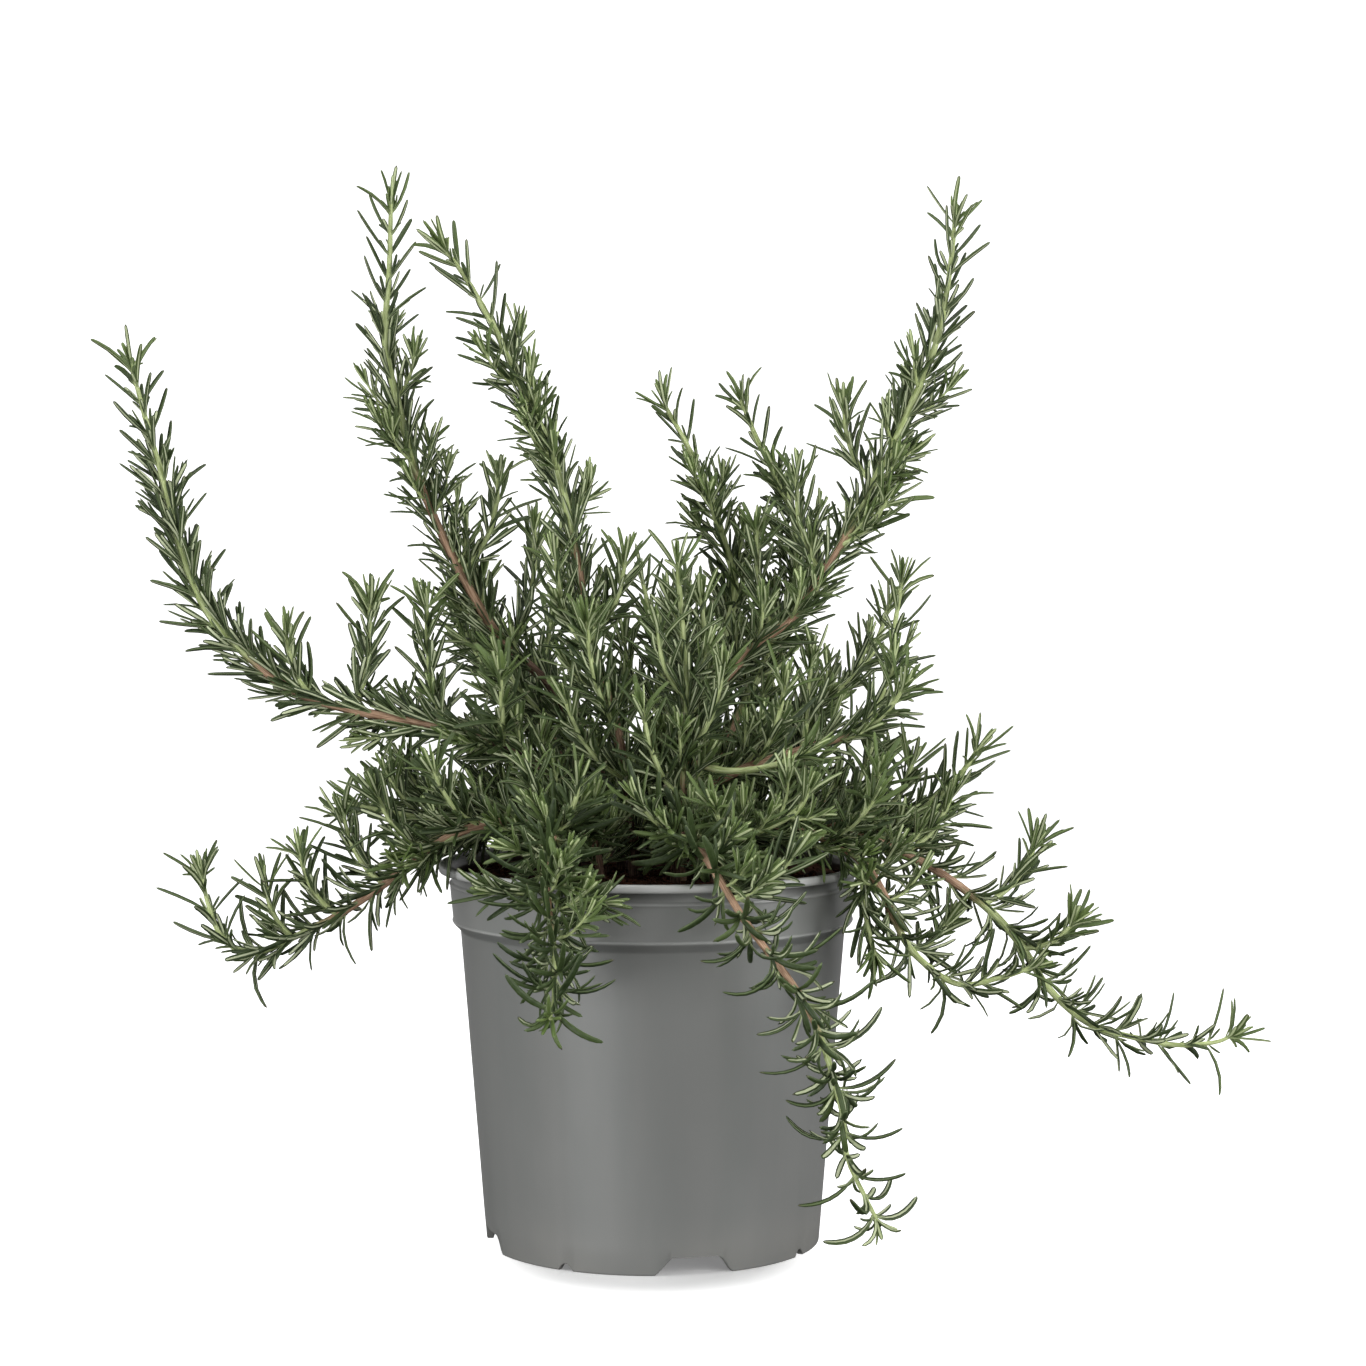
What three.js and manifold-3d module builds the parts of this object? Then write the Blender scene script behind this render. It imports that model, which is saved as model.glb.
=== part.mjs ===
// A rosemary plant in a plain nursery pot. Millimetres, +Z up, the front towards -Y.
// Every piece is drawn round the pot's own axis. At the end the whole plant is moved sideways,
// so that the origin lies on the ground under the middle of its outline.
import * as THREE from 'three';
import { mergeVertices } from 'three/addons/utils/BufferGeometryUtils.js';
import Module from 'manifold-3d';

const wasm = await Module();
wasm.setup();

// Pot: driving dimensions
const RIM_RADIUS = 95;
const POT_HEIGHT = 169;
const LIP_THICKNESS = 3;
const LIP_WIDTH = 5;
const COLLAR_RADIUS = 89.2;
const COLLAR_TOP = 159;
const COLLAR_BOTTOM = 144.5;
const LEDGE_BOTTOM = 140.5;
const BODY_TOP_RADIUS = 84.6;
const BASE_RADIUS = 73.5;
const WALL = 1.8;
const FOOT_WIDTH = 3;
const FLOOR_UNDERSIDE = 9;
const FLOOR_THICKNESS = 2;
const LEDGE_ROUNDING = [1.6, 2.2];
const COLLAR_TAPER = 0.6;
const ROUND_SEGMENTS = 36;

// Pot: foot cut-outs and drain holes, with angles in degrees anticlockwise from +X
const CUT_OUT = { count: 4, firstAngle: -74, bottomWidth: 34, topWidth: 20, height: 7.5 };
const NOTCH = { count: 4, firstAngle: -119, bottomWidth: 6, topWidth: 4, height: 3 };
const DRAIN_HOLE_RADIUS = 4.5;
const DRAIN_HOLE_PLACE = 58;
const DRAIN_HOLE_SIDES = 12;

// Soil
const CLEARANCE = 0.4;
const SOIL_EDGE_HEIGHT = 161;
const SOIL_EDGE_ROUNDING = 3;
const SOIL_SHOULDER_RADIUS = 60;
const SOIL_SHOULDER_HEIGHT = 163.5;
const SOIL_MIDDLE_HEIGHT = 165;

// Stems: each stands in its own hole and has its radius measured to the corners of its section
const ROOT_BOTTOM = 150;
const STEM_START = 167;
const STEM_RADIUS = { root: 2.4, tip: 1.1 };
const SHOOT_RADIUS = { root: 1.25, tip: 0.95 };
const STEM_SIDES = 4;
const SHOOT_SIDES = 3;
const HOLE_SIDES = 6;
const BARE_LENGTH = 26;
const BEND_STEP = 24;
const LAST_WHORL_FROM_END = 3;
const BUD_BEYOND_END = 4;
const SHOOT_LIFTS = [-18, 0, 14];
const STEEPEST_RISE = 88;

// Needles
const WHORL_SPACING = 13;
const SHOOT_WHORL_SPACING = 11.5;
const FIRST_SHOOT_WHORL = 12;
const WHORL_HALF_HEIGHT = 0.95;
const NEEDLE_LENGTH = 22;
const NEEDLE_END_WIDTH = 1.3;
const NEEDLE_LENGTH_RANGE = [0.88, 1.1];
const TIP_NEEDLE_SHARE = 0.74;
const NEEDLE_SPREAD = 48;
const TIP_SPREAD = 27;
const SPREAD_RANGE = 14;
const TIP_STRETCH = 30;

// Room that needles keep to each other, to other stems, and to the pot and soil
const NEEDLE_GAP = 0.4;
const NEEDLE_REACH = { inner: 1, outer: 0.8 };
const OWN_STRETCH = 9;
const STEM_CAPSULE = 8;
const POT_MARGIN = 1.6;
// Changes of spread and length that are tried in turn until the needle is clear
const NEEDLE_TRIES = [[0, 1], [-12, 1], [12, 1], [-22, 1], [24, 0.9], [-12, 0.75]];

const LEAF_GREEN = 0x4a6340;
const POT_GREY = 0x737573;
const PEAT_BROWN = 0x33231b;

// Stem routes. root is the place in the soil, route the points above it, and each shoot is
// [distance along the stem, length, heading, rise], heading anticlockwise from +X and rise above
// level, both in degrees. open turns the needles further out (+) or in (-), in degrees.
const STEMS = [
  {
    name: 'stem_left_arch', root: [-22, -8], open: -4,
    route: [[-27, -9, 182], [-42, -11, 205], [-66, -13, 222], [-95, -14, 230], [-134, -14, 238],
      [-158, -13, 246], [-178, -12, 261], [-195, -10, 279], [-206, -8, 302], [-214, -6, 333],
      [-223, -4, 364], [-230, -2, 390]],
    shoots: [[72, 45, 270, 50], [98, 58, 130, 76], [140, 50, 60, 78], [158, 34, 220, 64]],
  },
  {
    name: 'stem_left_tall', root: [-14, 12], open: -4,
    route: [[-16, 13, 185], [-27, 15, 215], [-46, 17, 246], [-68, 18, 267], [-84, 17, 293],
      [-97, 16, 320], [-106, 15, 343], [-114, 14, 374], [-119, 12, 401], [-117, 11, 432],
      [-116, 10, 462]],
    shoots: [[62, 55, 200, 45], [92, 58, 165, 55], [112, 58, 50, 74], [152, 48, 10, 70]],
  },
  {
    name: 'stem_middle_tall', root: [-8, -20], open: -4,
    route: [[-9, -20, 188], [-14, -19, 222], [-24, -18, 258], [-29, -17, 277], [-33, -16, 303],
      [-38, -16, 329], [-46, -16, 355], [-57, -17, 378], [-68, -18, 403], [-81, -18, 426],
      [-90, -18, 438]],
    shoots: [[40, 50, 215, 50], [62, 58, 245, 60], [95, 50, 205, 68], [105, 40, 340, 66]],
  },
  {
    name: 'stem_thin_middle', root: [8, 22], open: -4,
    route: [[10, 24, 190], [18, 27, 225], [29, 30, 258], [37, 31, 288], [32, 31, 311],
      [25, 31, 334], [15, 31, 355], [5, 31, 373]],
    shoots: [[66, 46, 150, 66], [100, 40, 75, 66]],
  },
  {
    name: 'stem_thin_right', root: [20, 14], open: -4,
    route: [[23, 18, 190], [34, 28, 222], [50, 38, 255], [62, 44, 283], [66, 46, 302],
      [63, 46, 325], [56, 45, 340], [47, 45, 358], [40, 45, 375]],
    shoots: [[74, 42, 70, 55], [104, 38, 350, 58]],
  },
  {
    name: 'stem_right_tall', root: [8, -6], open: -4,
    route: [[10, -6, 195], [20, -6, 231], [38, -5, 258], [60, -5, 276], [73, -5, 294],
      [87, -5, 316], [96, -5, 334], [107, -5, 356], [115, -5, 374], [124, -4, 396],
      [129, -3, 418], [132, -2, 440], [133, -1, 453]],
    shoots: [[84, 48, 250, 62], [118, 50, 120, 74], [152, 48, 140, 74], [168, 32, 325, 42],
      [198, 38, 150, 68]],
  },
  {
    name: 'stem_right_thin', root: [22, -12], open: -4,
    route: [[22, -14, 185], [25, -18, 203], [40, -21, 212], [64, -21, 220], [86, -17, 227],
      [97, -10, 237], [104, -3, 252], [108, 5, 276], [111, 9, 293]],
    shoots: [[60, 46, 300, 56], [82, 44, 75, 68], [104, 36, 330, 40]],
  },
  {
    name: 'stem_middle_upright', root: [13, -30], open: -4,
    route: [[13, -30, 190], [14, -30, 220], [15, -30, 245], [13, -30, 277], [11, -29, 302]],
    shoots: [[32, 50, 230, 58], [52, 46, 320, 62], [76, 34, 200, 68]],
  },
  {
    name: 'stem_right_rise', root: [34, 2], open: 0,
    route: [[38, 1, 184], [55, -3, 193], [76, -8, 191], [94, -12, 189], [110, -15, 190],
      [122, -17, 197], [134, -18, 208], [143, -19, 221]],
    shoots: [[40, 46, 60, 58], [62, 40, 40, 50], [82, 32, 20, 55]],
  },
  {
    name: 'stem_right_trail', root: [36, -20], open: 6,
    route: [[40, -22, 181], [58, -27, 189], [80, -31, 189], [97, -32, 182], [120, -33, 171],
      [144, -33, 154], [160, -33, 137], [173, -33, 117], [190, -33, 102], [208, -32, 96],
      [229, -31, 92], [246, -30, 93], [254, -29, 96]],
    shoots: [[62, 38, 300, 45], [90, 34, 20, 48], [132, 36, 15, 48], [158, 28, 330, 30]],
  },
  {
    name: 'stem_right_inner_trail', root: [27, -37], open: 6,
    route: [[31, -39, 180], [48, -45, 187], [70, -51, 186], [88, -56, 177], [98, -57, 164],
      [103, -56, 152], [113, -54, 135], [131, -52, 122], [149, -50, 124], [165, -49, 129]],
    shoots: [[60, 34, 320, 35], [80, 44, 285, -62], [124, 30, 50, 20]],
  },
  {
    name: 'stem_front_right_trail', root: [10, -45], open: 14,
    route: [[11, -48, 181], [14, -62, 188], [20, -83, 184], [29, -101, 172], [38, -109, 158],
      [47, -114, 146], [60, -118, 129], [70, -120, 109], [78, -120, 82], [81, -118, 60],
      [89, -116, 42], [94, -114, 32]],
    shoots: [[44, 34, 215, 35], [86, 34, 15, 35]],
  },
  {
    name: 'stem_front_left_trail', root: [-22, -40], open: 8,
    route: [[-25, -42, 182], [-33, -56, 192], [-40, -76, 190], [-43, -97, 179], [-42, -109, 165],
      [-40, -116, 152], [-39, -122, 138], [-39, -130, 125], [-40, -141, 117]],
    shoots: [[50, 34, 205, 35], [60, 34, 320, 35], [92, 24, 185, -5], [98, 24, 355, -5]],
  },
  {
    name: 'stem_left_low', root: [-39, -20], open: 0,
    route: [[-43, -22, 181], [-60, -28, 189], [-80, -33, 187], [-97, -36, 178], [-115, -37, 164],
      [-136, -37, 150], [-158, -37, 139], [-175, -36, 133], [-187, -35, 140], [-193, -34, 154],
      [-196, -33, 168]],
    shoots: [[50, 38, 225, 45], [76, 36, 200, 50], [100, 36, 160, 58], [124, 34, 205, 60],
      [146, 28, 160, 62]],
  },
  {
    name: 'stem_left_middle', root: [-37, 2], open: -2,
    route: [[-41, 2, 181], [-58, -1, 190], [-80, -5, 188], [-98, -8, 190], [-116, -9, 192],
      [-131, -10, 195]],
    shoots: [[40, 42, 130, 50], [62, 36, 170, 45], [76, 28, 210, 45]],
  },
  {
    name: 'stem_front_right_short', root: [29, -57], open: 0,
    route: [[31, -59, 180], [37, -62, 186], [50, -65, 191], [62, -66, 198], [67, -66, 207]],
    shoots: [[20, 30, 250, 35]],
  },
  {
    name: 'stem_back_left', root: [-26, 27], open: -4,
    route: [[-30, 31, 185], [-42, 44, 212], [-58, 62, 234], [-76, 80, 250], [-90, 96, 268],
      [-98, 108, 290]],
    shoots: [[58, 48, 185, 62], [88, 44, 60, 58], [112, 34, 150, 55]],
  },
  {
    name: 'stem_back_middle', root: [1, 42], open: -4,
    route: [[1, 46, 188], [3, 57, 218], [4, 73, 245], [0, 90, 268], [-6, 104, 292]],
    shoots: [[40, 48, 30, 55], [66, 44, 140, 58], [96, 34, 50, 58]],
  },
  {
    name: 'stem_back_right', root: [28, 34], open: -4,
    route: [[32, 39, 184], [46, 54, 206], [64, 72, 224], [84, 88, 238], [102, 100, 256],
      [112, 108, 280]],
    shoots: [[50, 44, 330, 50], [80, 40, 120, 58], [106, 34, 20, 55]],
  },
  {
    name: 'stem_back_trail', root: [-8, 60], open: 6,
    route: [[-8, 65, 182], [-6, 78, 190], [-2, 94, 186], [4, 108, 170], [8, 120, 149],
      [10, 130, 127], [8, 142, 109], [2, 156, 99]],
    shoots: [[38, 36, 50, 40], [52, 36, 145, 35], [92, 28, 20, 0]],
  },
  {
    name: 'stem_back_right_low', root: [46, 18], open: 0,
    route: [[51, 22, 181], [68, 36, 190], [84, 52, 190], [98, 68, 184], [112, 82, 178],
      [126, 94, 178], [137, 102, 187]],
    shoots: [[36, 40, 100, 55], [66, 34, 20, 45]],
  },
  {
    name: 'stem_back_left_low', root: [-46, 18], open: 0,
    route: [[-51, 21, 181], [-67, 32, 190], [-84, 46, 188], [-102, 58, 183], [-118, 70, 183],
      [-131, 80, 190]],
    shoots: [[36, 40, 110, 52], [66, 34, 190, 42]],
  },
];

// The same number between 0 and 1 for the same key, so that the plant never changes
function chance(key) {
  const wave = Math.sin(key * 127.1 + 311.7) * 43758.5453;
  return wave - Math.floor(wave);
}

function radians(degrees) {
  return THREE.MathUtils.degToRad(degrees);
}

function blend(from, to, share) {
  return THREE.MathUtils.lerp(from, to, share);
}

// Closed mesh to solid and back

function toSolid(geometry) {
  const bare = new THREE.BufferGeometry();
  bare.setAttribute('position', geometry.getAttribute('position').clone());
  bare.setIndex(geometry.index ? [...geometry.index.array] : null);
  const merged = mergeVertices(bare, 1e-4);
  const corners = merged.index.array;
  const triVerts = [];
  for (let i = 0; i < corners.length; i += 3) {
    const [a, b, c] = [corners[i], corners[i + 1], corners[i + 2]];
    if (a !== b && b !== c && c !== a) {
      triVerts.push(a, b, c);
    }
  }
  return new wasm.Manifold(new wasm.Mesh({
    numProp: 3,
    vertProperties: Float32Array.from(merged.getAttribute('position').array),
    triVerts: Uint32Array.from(triVerts),
  }));
}

function toGeometry(solid) {
  const mesh = solid.getMesh();
  const geometry = new THREE.BufferGeometry();
  geometry.setAttribute('position', new THREE.Float32BufferAttribute(mesh.vertProperties, 3));
  geometry.setIndex([...mesh.triVerts]);
  return geometry;
}

// A solid of revolution round +Z from [radius, height] points, listed upwards along the outside
function turned(profile) {
  const points = profile.map(([radius, height]) => new THREE.Vector2(radius, height));
  const geometry = new THREE.LatheGeometry(points, ROUND_SEGMENTS);
  geometry.rotateX(Math.PI / 2);
  return toSolid(geometry);
}

// Pot

// The inside of the wall, from the floor up, which the soil follows
const INNER_WALL = [
  [BASE_RADIUS - WALL, FLOOR_UNDERSIDE + FLOOR_THICKNESS],
  [BODY_TOP_RADIUS - WALL, LEDGE_BOTTOM],
  [COLLAR_RADIUS - WALL - COLLAR_TAPER, COLLAR_BOTTOM],
  [COLLAR_RADIUS - WALL, COLLAR_TOP],
];

function potShell() {
  const floorTop = FLOOR_UNDERSIDE + FLOOR_THICKNESS;
  const footInside = BASE_RADIUS - FOOT_WIDTH;
  const lipBottom = POT_HEIGHT - LIP_THICKNESS;
  return turned([
    [0, FLOOR_UNDERSIDE],
    [footInside, FLOOR_UNDERSIDE],
    [footInside, 0],
    [BASE_RADIUS, 0],
    [BODY_TOP_RADIUS, LEDGE_BOTTOM],
    [COLLAR_RADIUS - LEDGE_ROUNDING[0], COLLAR_BOTTOM - LEDGE_ROUNDING[1]],
    [COLLAR_RADIUS - COLLAR_TAPER, COLLAR_BOTTOM],
    [COLLAR_RADIUS, COLLAR_TOP],
    [COLLAR_RADIUS + 1.6, COLLAR_TOP + 1.6],
    [COLLAR_RADIUS + 2.4, lipBottom - 1.6],
    [RIM_RADIUS - 0.8, lipBottom],
    [RIM_RADIUS, lipBottom + LIP_THICKNESS / 2],
    [RIM_RADIUS - 0.9, POT_HEIGHT],
    [RIM_RADIUS - LIP_WIDTH, POT_HEIGHT - 0.4],
    ...INNER_WALL.toReversed(),
    [0, floorTop],
  ]);
}

// A wedge that cuts through the foot ring from outside, with sloping sides
function footCutter({ bottomWidth, topWidth, height }, angle) {
  const below = 1;
  const outside = 4;
  const flare = (bottomWidth - topWidth) / 2 / height;
  const outline = new THREE.Shape([
    new THREE.Vector2(-bottomWidth / 2 - flare * below, -below),
    new THREE.Vector2(bottomWidth / 2 + flare * below, -below),
    new THREE.Vector2(topWidth / 2, height),
    new THREE.Vector2(-topWidth / 2, height),
  ]);
  const depth = BASE_RADIUS / 3;
  const cutter = new THREE.ExtrudeGeometry(outline, { depth, bevelEnabled: false });
  cutter.rotateX(Math.PI / 2);
  cutter.translate(0, depth - BASE_RADIUS - outside, 0);
  cutter.rotateZ(radians(angle + 90));
  return toSolid(cutter);
}

function drainHole(angle) {
  const height = FLOOR_THICKNESS * 3;
  const hole = new THREE.CylinderGeometry(
    DRAIN_HOLE_RADIUS, DRAIN_HOLE_RADIUS, height, DRAIN_HOLE_SIDES);
  hole.rotateX(Math.PI / 2);
  hole.translate(DRAIN_HOLE_PLACE, 0, FLOOR_UNDERSIDE + FLOOR_THICKNESS / 2);
  hole.rotateZ(radians(angle));
  return toSolid(hole);
}

function makePot() {
  let pot = potShell();
  for (const kind of [CUT_OUT, NOTCH]) {
    for (let i = 0; i < kind.count; i += 1) {
      pot = pot.subtract(footCutter(kind, kind.firstAngle + (i * 360) / kind.count));
    }
  }
  for (let i = 0; i < CUT_OUT.count; i += 1) {
    pot = pot.subtract(drainHole(CUT_OUT.firstAngle + (i * 360) / CUT_OUT.count));
  }
  return pot;
}

// Soil

function rootHole([x, y]) {
  const radius = (STEM_RADIUS.root + CLEARANCE) / Math.cos(Math.PI / HOLE_SIDES);
  const bottom = ROOT_BOTTOM - CLEARANCE;
  const height = STEM_START + CLEARANCE - bottom;
  const hole = new THREE.CylinderGeometry(radius, radius, height, HOLE_SIDES);
  hole.rotateX(Math.PI / 2);
  hole.translate(x, y, bottom + height / 2);
  return toSolid(hole);
}

function makeSoil() {
  const bottom = INNER_WALL[0][1] + CLEARANCE;
  const side = INNER_WALL.slice(0, -1).map(([radius, height]) => [radius - CLEARANCE, height]);
  side[0][1] = bottom;
  const edge = COLLAR_RADIUS - WALL - CLEARANCE;
  let soil = turned([
    [0, bottom],
    ...side,
    [edge, SOIL_EDGE_HEIGHT - SOIL_EDGE_ROUNDING],
    [edge - SOIL_EDGE_ROUNDING, SOIL_EDGE_HEIGHT],
    [SOIL_SHOULDER_RADIUS, SOIL_SHOULDER_HEIGHT],
    [0, SOIL_MIDDLE_HEIGHT],
  ]);
  for (const stem of STEMS) {
    soil = soil.subtract(rootHole(stem.root));
  }
  return soil;
}

// Stem and shoot centre lines

// A smooth line through points, which gives its place and direction at any distance along it
function centreLine(points) {
  const curve = new THREE.CatmullRomCurve3(points, false, 'catmullrom', 0.5);
  const length = curve.getLength();
  return {
    length,
    place: (distance) => curve.getPointAt(THREE.MathUtils.clamp(distance / length, 0, 1)),
    heading: (distance) => curve.getTangentAt(THREE.MathUtils.clamp(distance / length, 0, 1)),
  };
}

function stemLine({ root, route }) {
  const start = new THREE.Vector3(root[0], root[1], STEM_START);
  return centreLine([start, ...route.map((point) => new THREE.Vector3(...point))]);
}

// A shoot leaves its stem low and turns upwards over three equal stretches
function shootLine(parent, [distance, length, heading, rise]) {
  const points = [parent.place(distance)];
  for (const lift of SHOOT_LIFTS) {
    const angle = radians(Math.min(rise + lift, STEEPEST_RISE));
    const step = new THREE.Vector3(
      Math.cos(radians(heading)) * Math.cos(angle),
      Math.sin(radians(heading)) * Math.cos(angle),
      Math.sin(angle),
    );
    points.push(points.at(-1).clone().addScaledVector(step, length / SHOOT_LIFTS.length));
  }
  return centreLine(points);
}

// Each branch is a main stem or one of its shoots
function branchesOf(stem, stemIndex) {
  const main = {
    key: stemIndex * 10000, stem, line: stemLine(stem), parent: null,
    sides: STEM_SIDES, radius: STEM_RADIUS, spacing: WHORL_SPACING, first: BARE_LENGTH,
  };
  const shoots = stem.shoots.map((shoot, i) => ({
    key: stemIndex * 10000 + (i + 1) * 500, stem, line: shootLine(main.line, shoot), parent: main,
    sides: SHOOT_SIDES, radius: SHOOT_RADIUS, spacing: SHOOT_WHORL_SPACING,
    first: FIRST_SHOOT_WHORL,
  }));
  return [main, ...shoots];
}

// Room between needles: stretches of stem and needle are capsules that keep apart

const taken = [];

// The shortest distance between the stretches p to q and r to s
function nearest(p, q, r, s) {
  const line = new THREE.Vector3().subVectors(q, p);
  const other = new THREE.Vector3().subVectors(s, r);
  const between = new THREE.Vector3().subVectors(p, r);
  const [a, e] = [line.lengthSq(), other.lengthSq()];
  const [b, c, f] = [line.dot(other), line.dot(between), other.dot(between)];
  const spread = a * e - b * b;
  let along = spread > 1e-9 ? THREE.MathUtils.clamp((b * f - c * e) / spread, 0, 1) : 0;
  let across = (b * along + f) / e;
  if (across < 0 || across > 1) {
    across = THREE.MathUtils.clamp(across, 0, 1);
    along = THREE.MathUtils.clamp((b * across - c) / a, 0, 1);
  }
  const here = p.clone().addScaledVector(line, along);
  const there = r.clone().addScaledVector(other, across);
  return here.distanceTo(there);
}

function capsule(from, to, radius, branch, distance) {
  const middle = from.clone().add(to).multiplyScalar(0.5);
  const reach = from.distanceTo(to) / 2 + radius;
  return { from, to, radius, branch, distance, middle, reach };
}

function clashes(piece) {
  return taken.some((other) => {
    if (piece.middle.distanceTo(other.middle) > piece.reach + other.reach + NEEDLE_GAP) {
      return false;
    }
    const sameBranch = other.branch === piece.branch;
    if (sameBranch && Math.abs(other.distance - piece.distance) < OWN_STRETCH) {
      return false;
    }
    const gap = nearest(piece.from, piece.to, other.from, other.to);
    return gap < piece.radius + other.radius + NEEDLE_GAP;
  });
}

function takeStems(branches) {
  for (const branch of branches) {
    for (let distance = 0; distance < branch.line.length; distance += STEM_CAPSULE) {
      const end = Math.min(distance + STEM_CAPSULE, branch.line.length);
      const places = [branch.line.place(distance), branch.line.place(end)];
      const widest = blend(branch.radius.root, branch.radius.tip, distance / branch.line.length);
      taken.push(capsule(...places, widest, branch, distance));
    }
  }
}

// Whether a point lies in, or too near, the pot's wall or the soil
function meetsPot(point) {
  const out = Math.hypot(point.x, point.y);
  if (out < COLLAR_RADIUS - WALL - POT_MARGIN) {
    return point.z < SOIL_MIDDLE_HEIGHT + POT_MARGIN;
  }
  const share = THREE.MathUtils.clamp(point.z / LEDGE_BOTTOM, 0, 1);
  const body = blend(BASE_RADIUS, BODY_TOP_RADIUS, share);
  const wall = point.z > COLLAR_TOP ? RIM_RADIUS : COLLAR_RADIUS;
  const outside = point.z > LEDGE_BOTTOM ? wall : body;
  return out < outside + POT_MARGIN && point.z < POT_HEIGHT + POT_MARGIN;
}

// Rings and needles

// The middle, direction and two cross directions of a ring, carried on from the ring before
function ringFrame(line, distance, before) {
  const along = line.heading(distance);
  const across = before.clone().addScaledVector(along, -before.dot(along)).normalize();
  const over = new THREE.Vector3().crossVectors(along, across);
  return { middle: line.place(distance), along, across, over };
}

function ringPoints(frame, shift, radius, sides, turn) {
  const points = [];
  for (let k = 0; k < sides; k += 1) {
    const angle = turn + (k * 2 * Math.PI) / sides;
    points.push(frame.middle.clone()
      .addScaledVector(frame.along, shift)
      .addScaledVector(frame.across, radius * Math.cos(angle))
      .addScaledVector(frame.over, radius * Math.sin(angle)));
  }
  return points;
}

// The blunt end of a needle that grows out of the side between two ring corners
function needleEnd(base, frame, spread, length) {
  const outward = base.clone().sub(frame.middle);
  outward.addScaledVector(frame.along, -outward.dot(frame.along)).normalize();
  const side = new THREE.Vector3().crossVectors(frame.along, outward);
  const tip = base.clone()
    .addScaledVector(outward, Math.sin(spread) * length)
    .addScaledVector(frame.along, Math.cos(spread) * length);
  return {
    tip,
    middle: base.clone().lerp(tip, 0.5),
    left: tip.clone().addScaledVector(side, -NEEDLE_END_WIDTH / 2),
    right: tip.clone().addScaledVector(side, NEEDLE_END_WIDTH / 2),
  };
}

// The first of a few angles at which the needle meets nothing, or null
function clearNeedle(base, frame, branch, distance, key) {
  const fromTip = THREE.MathUtils.clamp((branch.line.length - distance) / TIP_STRETCH, 0, 1);
  const open = NEEDLE_SPREAD + branch.stem.open;
  const spread = blend(TIP_SPREAD, open, fromTip) + (chance(key) - 0.5) * SPREAD_RANGE;
  const length = NEEDLE_LENGTH * blend(TIP_NEEDLE_SHARE, 1, fromTip)
    * blend(...NEEDLE_LENGTH_RANGE, chance(key + 0.37));
  for (const [change, size] of NEEDLE_TRIES) {
    const needle = needleEnd(base, frame, radians(spread + change), length * size);
    const inner = capsule(base, needle.middle, NEEDLE_REACH.inner, branch, distance);
    const outer = capsule(needle.middle, needle.tip, NEEDLE_REACH.outer, branch, distance);
    const sunk = meetsPot(needle.middle) || meetsPot(needle.tip);
    if (!sunk && !clashes(inner) && !clashes(outer)) {
      taken.push(inner, outer);
      return needle;
    }
  }
  return null;
}

// The growing skin of one branch: its corners, its triangles, and the ways to add to them
function newSkin(sides) {
  const points = [];
  const triangles = [];
  const add = (point) => points.push(point) - 1;
  const next = (k) => (k + 1) % sides;
  return {
    next,
    addRing: (ring) => ring.map(add),
    closeBelow: (ring) => {
      for (let k = 1; k < sides - 1; k += 1) {
        triangles.push([ring[0], ring[k + 1], ring[k]]);
      }
    },
    closeAbove: (ring, point) => {
      const top = add(point);
      for (let k = 0; k < sides; k += 1) {
        triangles.push([ring[k], ring[next(k)], top]);
      }
    },
    join: (low, high) => {
      for (let k = 0; k < sides; k += 1) {
        triangles.push([low[k], low[next(k)], high[k]]);
        triangles.push([low[next(k)], high[next(k)], high[k]]);
      }
    },
    flat: (a, b, c, d) => triangles.push([a, b, c], [a, c, d]),
    raise: (a, b, c, d, needle) => {
      const [left, right] = [add(needle.left), add(needle.right)];
      triangles.push([a, b, right], [a, right, left], [b, c, right]);
      triangles.push([c, d, left], [c, left, right], [d, a, left]);
    },
    solid: () => {
      const geometry = new THREE.BufferGeometry();
      const numbers = points.flatMap((point) => point.toArray());
      geometry.setAttribute('position', new THREE.Float32BufferAttribute(numbers, 3));
      geometry.setIndex(triangles.flat());
      return toSolid(geometry);
    },
  };
}

function radiusAt({ radius, line }, distance) {
  return blend(radius.root, radius.tip, distance / line.length);
}

// A main stem starts straight down in its hole, and a shoot starts inside its parent stem
function addFoot(skin, { parent, line, sides, radius }) {
  const turn = Math.PI / 4;
  const [sideways, back, up] = [[1, 0, 0], [0, 1, 0], [0, 0, 1]].map(
    (axis) => new THREE.Vector3(...axis));
  if (parent) {
    const mostlySideways = Math.abs(line.heading(0).x) > Math.SQRT1_2;
    const frame = ringFrame(line, 0, mostlySideways ? back : sideways);
    const ring = skin.addRing(ringPoints(frame, 0, radius.root, sides, turn));
    skin.closeBelow(ring);
    return { ring, across: frame.across, turn };
  }
  const upright = { middle: line.place(0), along: up, across: sideways, over: back };
  const depth = STEM_START - ROOT_BOTTOM;
  const bottom = skin.addRing(ringPoints(upright, -depth, radius.root, sides, turn));
  const ring = skin.addRing(ringPoints(upright, 0, radius.root, sides, turn));
  skin.closeBelow(bottom);
  skin.join(bottom, ring);
  return { ring, across: sideways, turn };
}

// Plain rings up to the first needles, so that the bare stretch follows the bend
function addBareStretch(skin, branch, { ring, across, turn }) {
  const count = Math.floor(branch.first / BEND_STEP);
  let last = { ring, across, turn };
  for (let i = 1; i <= count; i += 1) {
    const distance = (branch.first * i) / (count + 1);
    const frame = ringFrame(branch.line, distance, last.across);
    const size = radiusAt(branch, distance);
    const plain = skin.addRing(ringPoints(frame, 0, size, branch.sides, turn));
    skin.join(last.ring, plain);
    last = { ring: plain, across: frame.across, turn };
  }
  return last;
}

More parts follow.
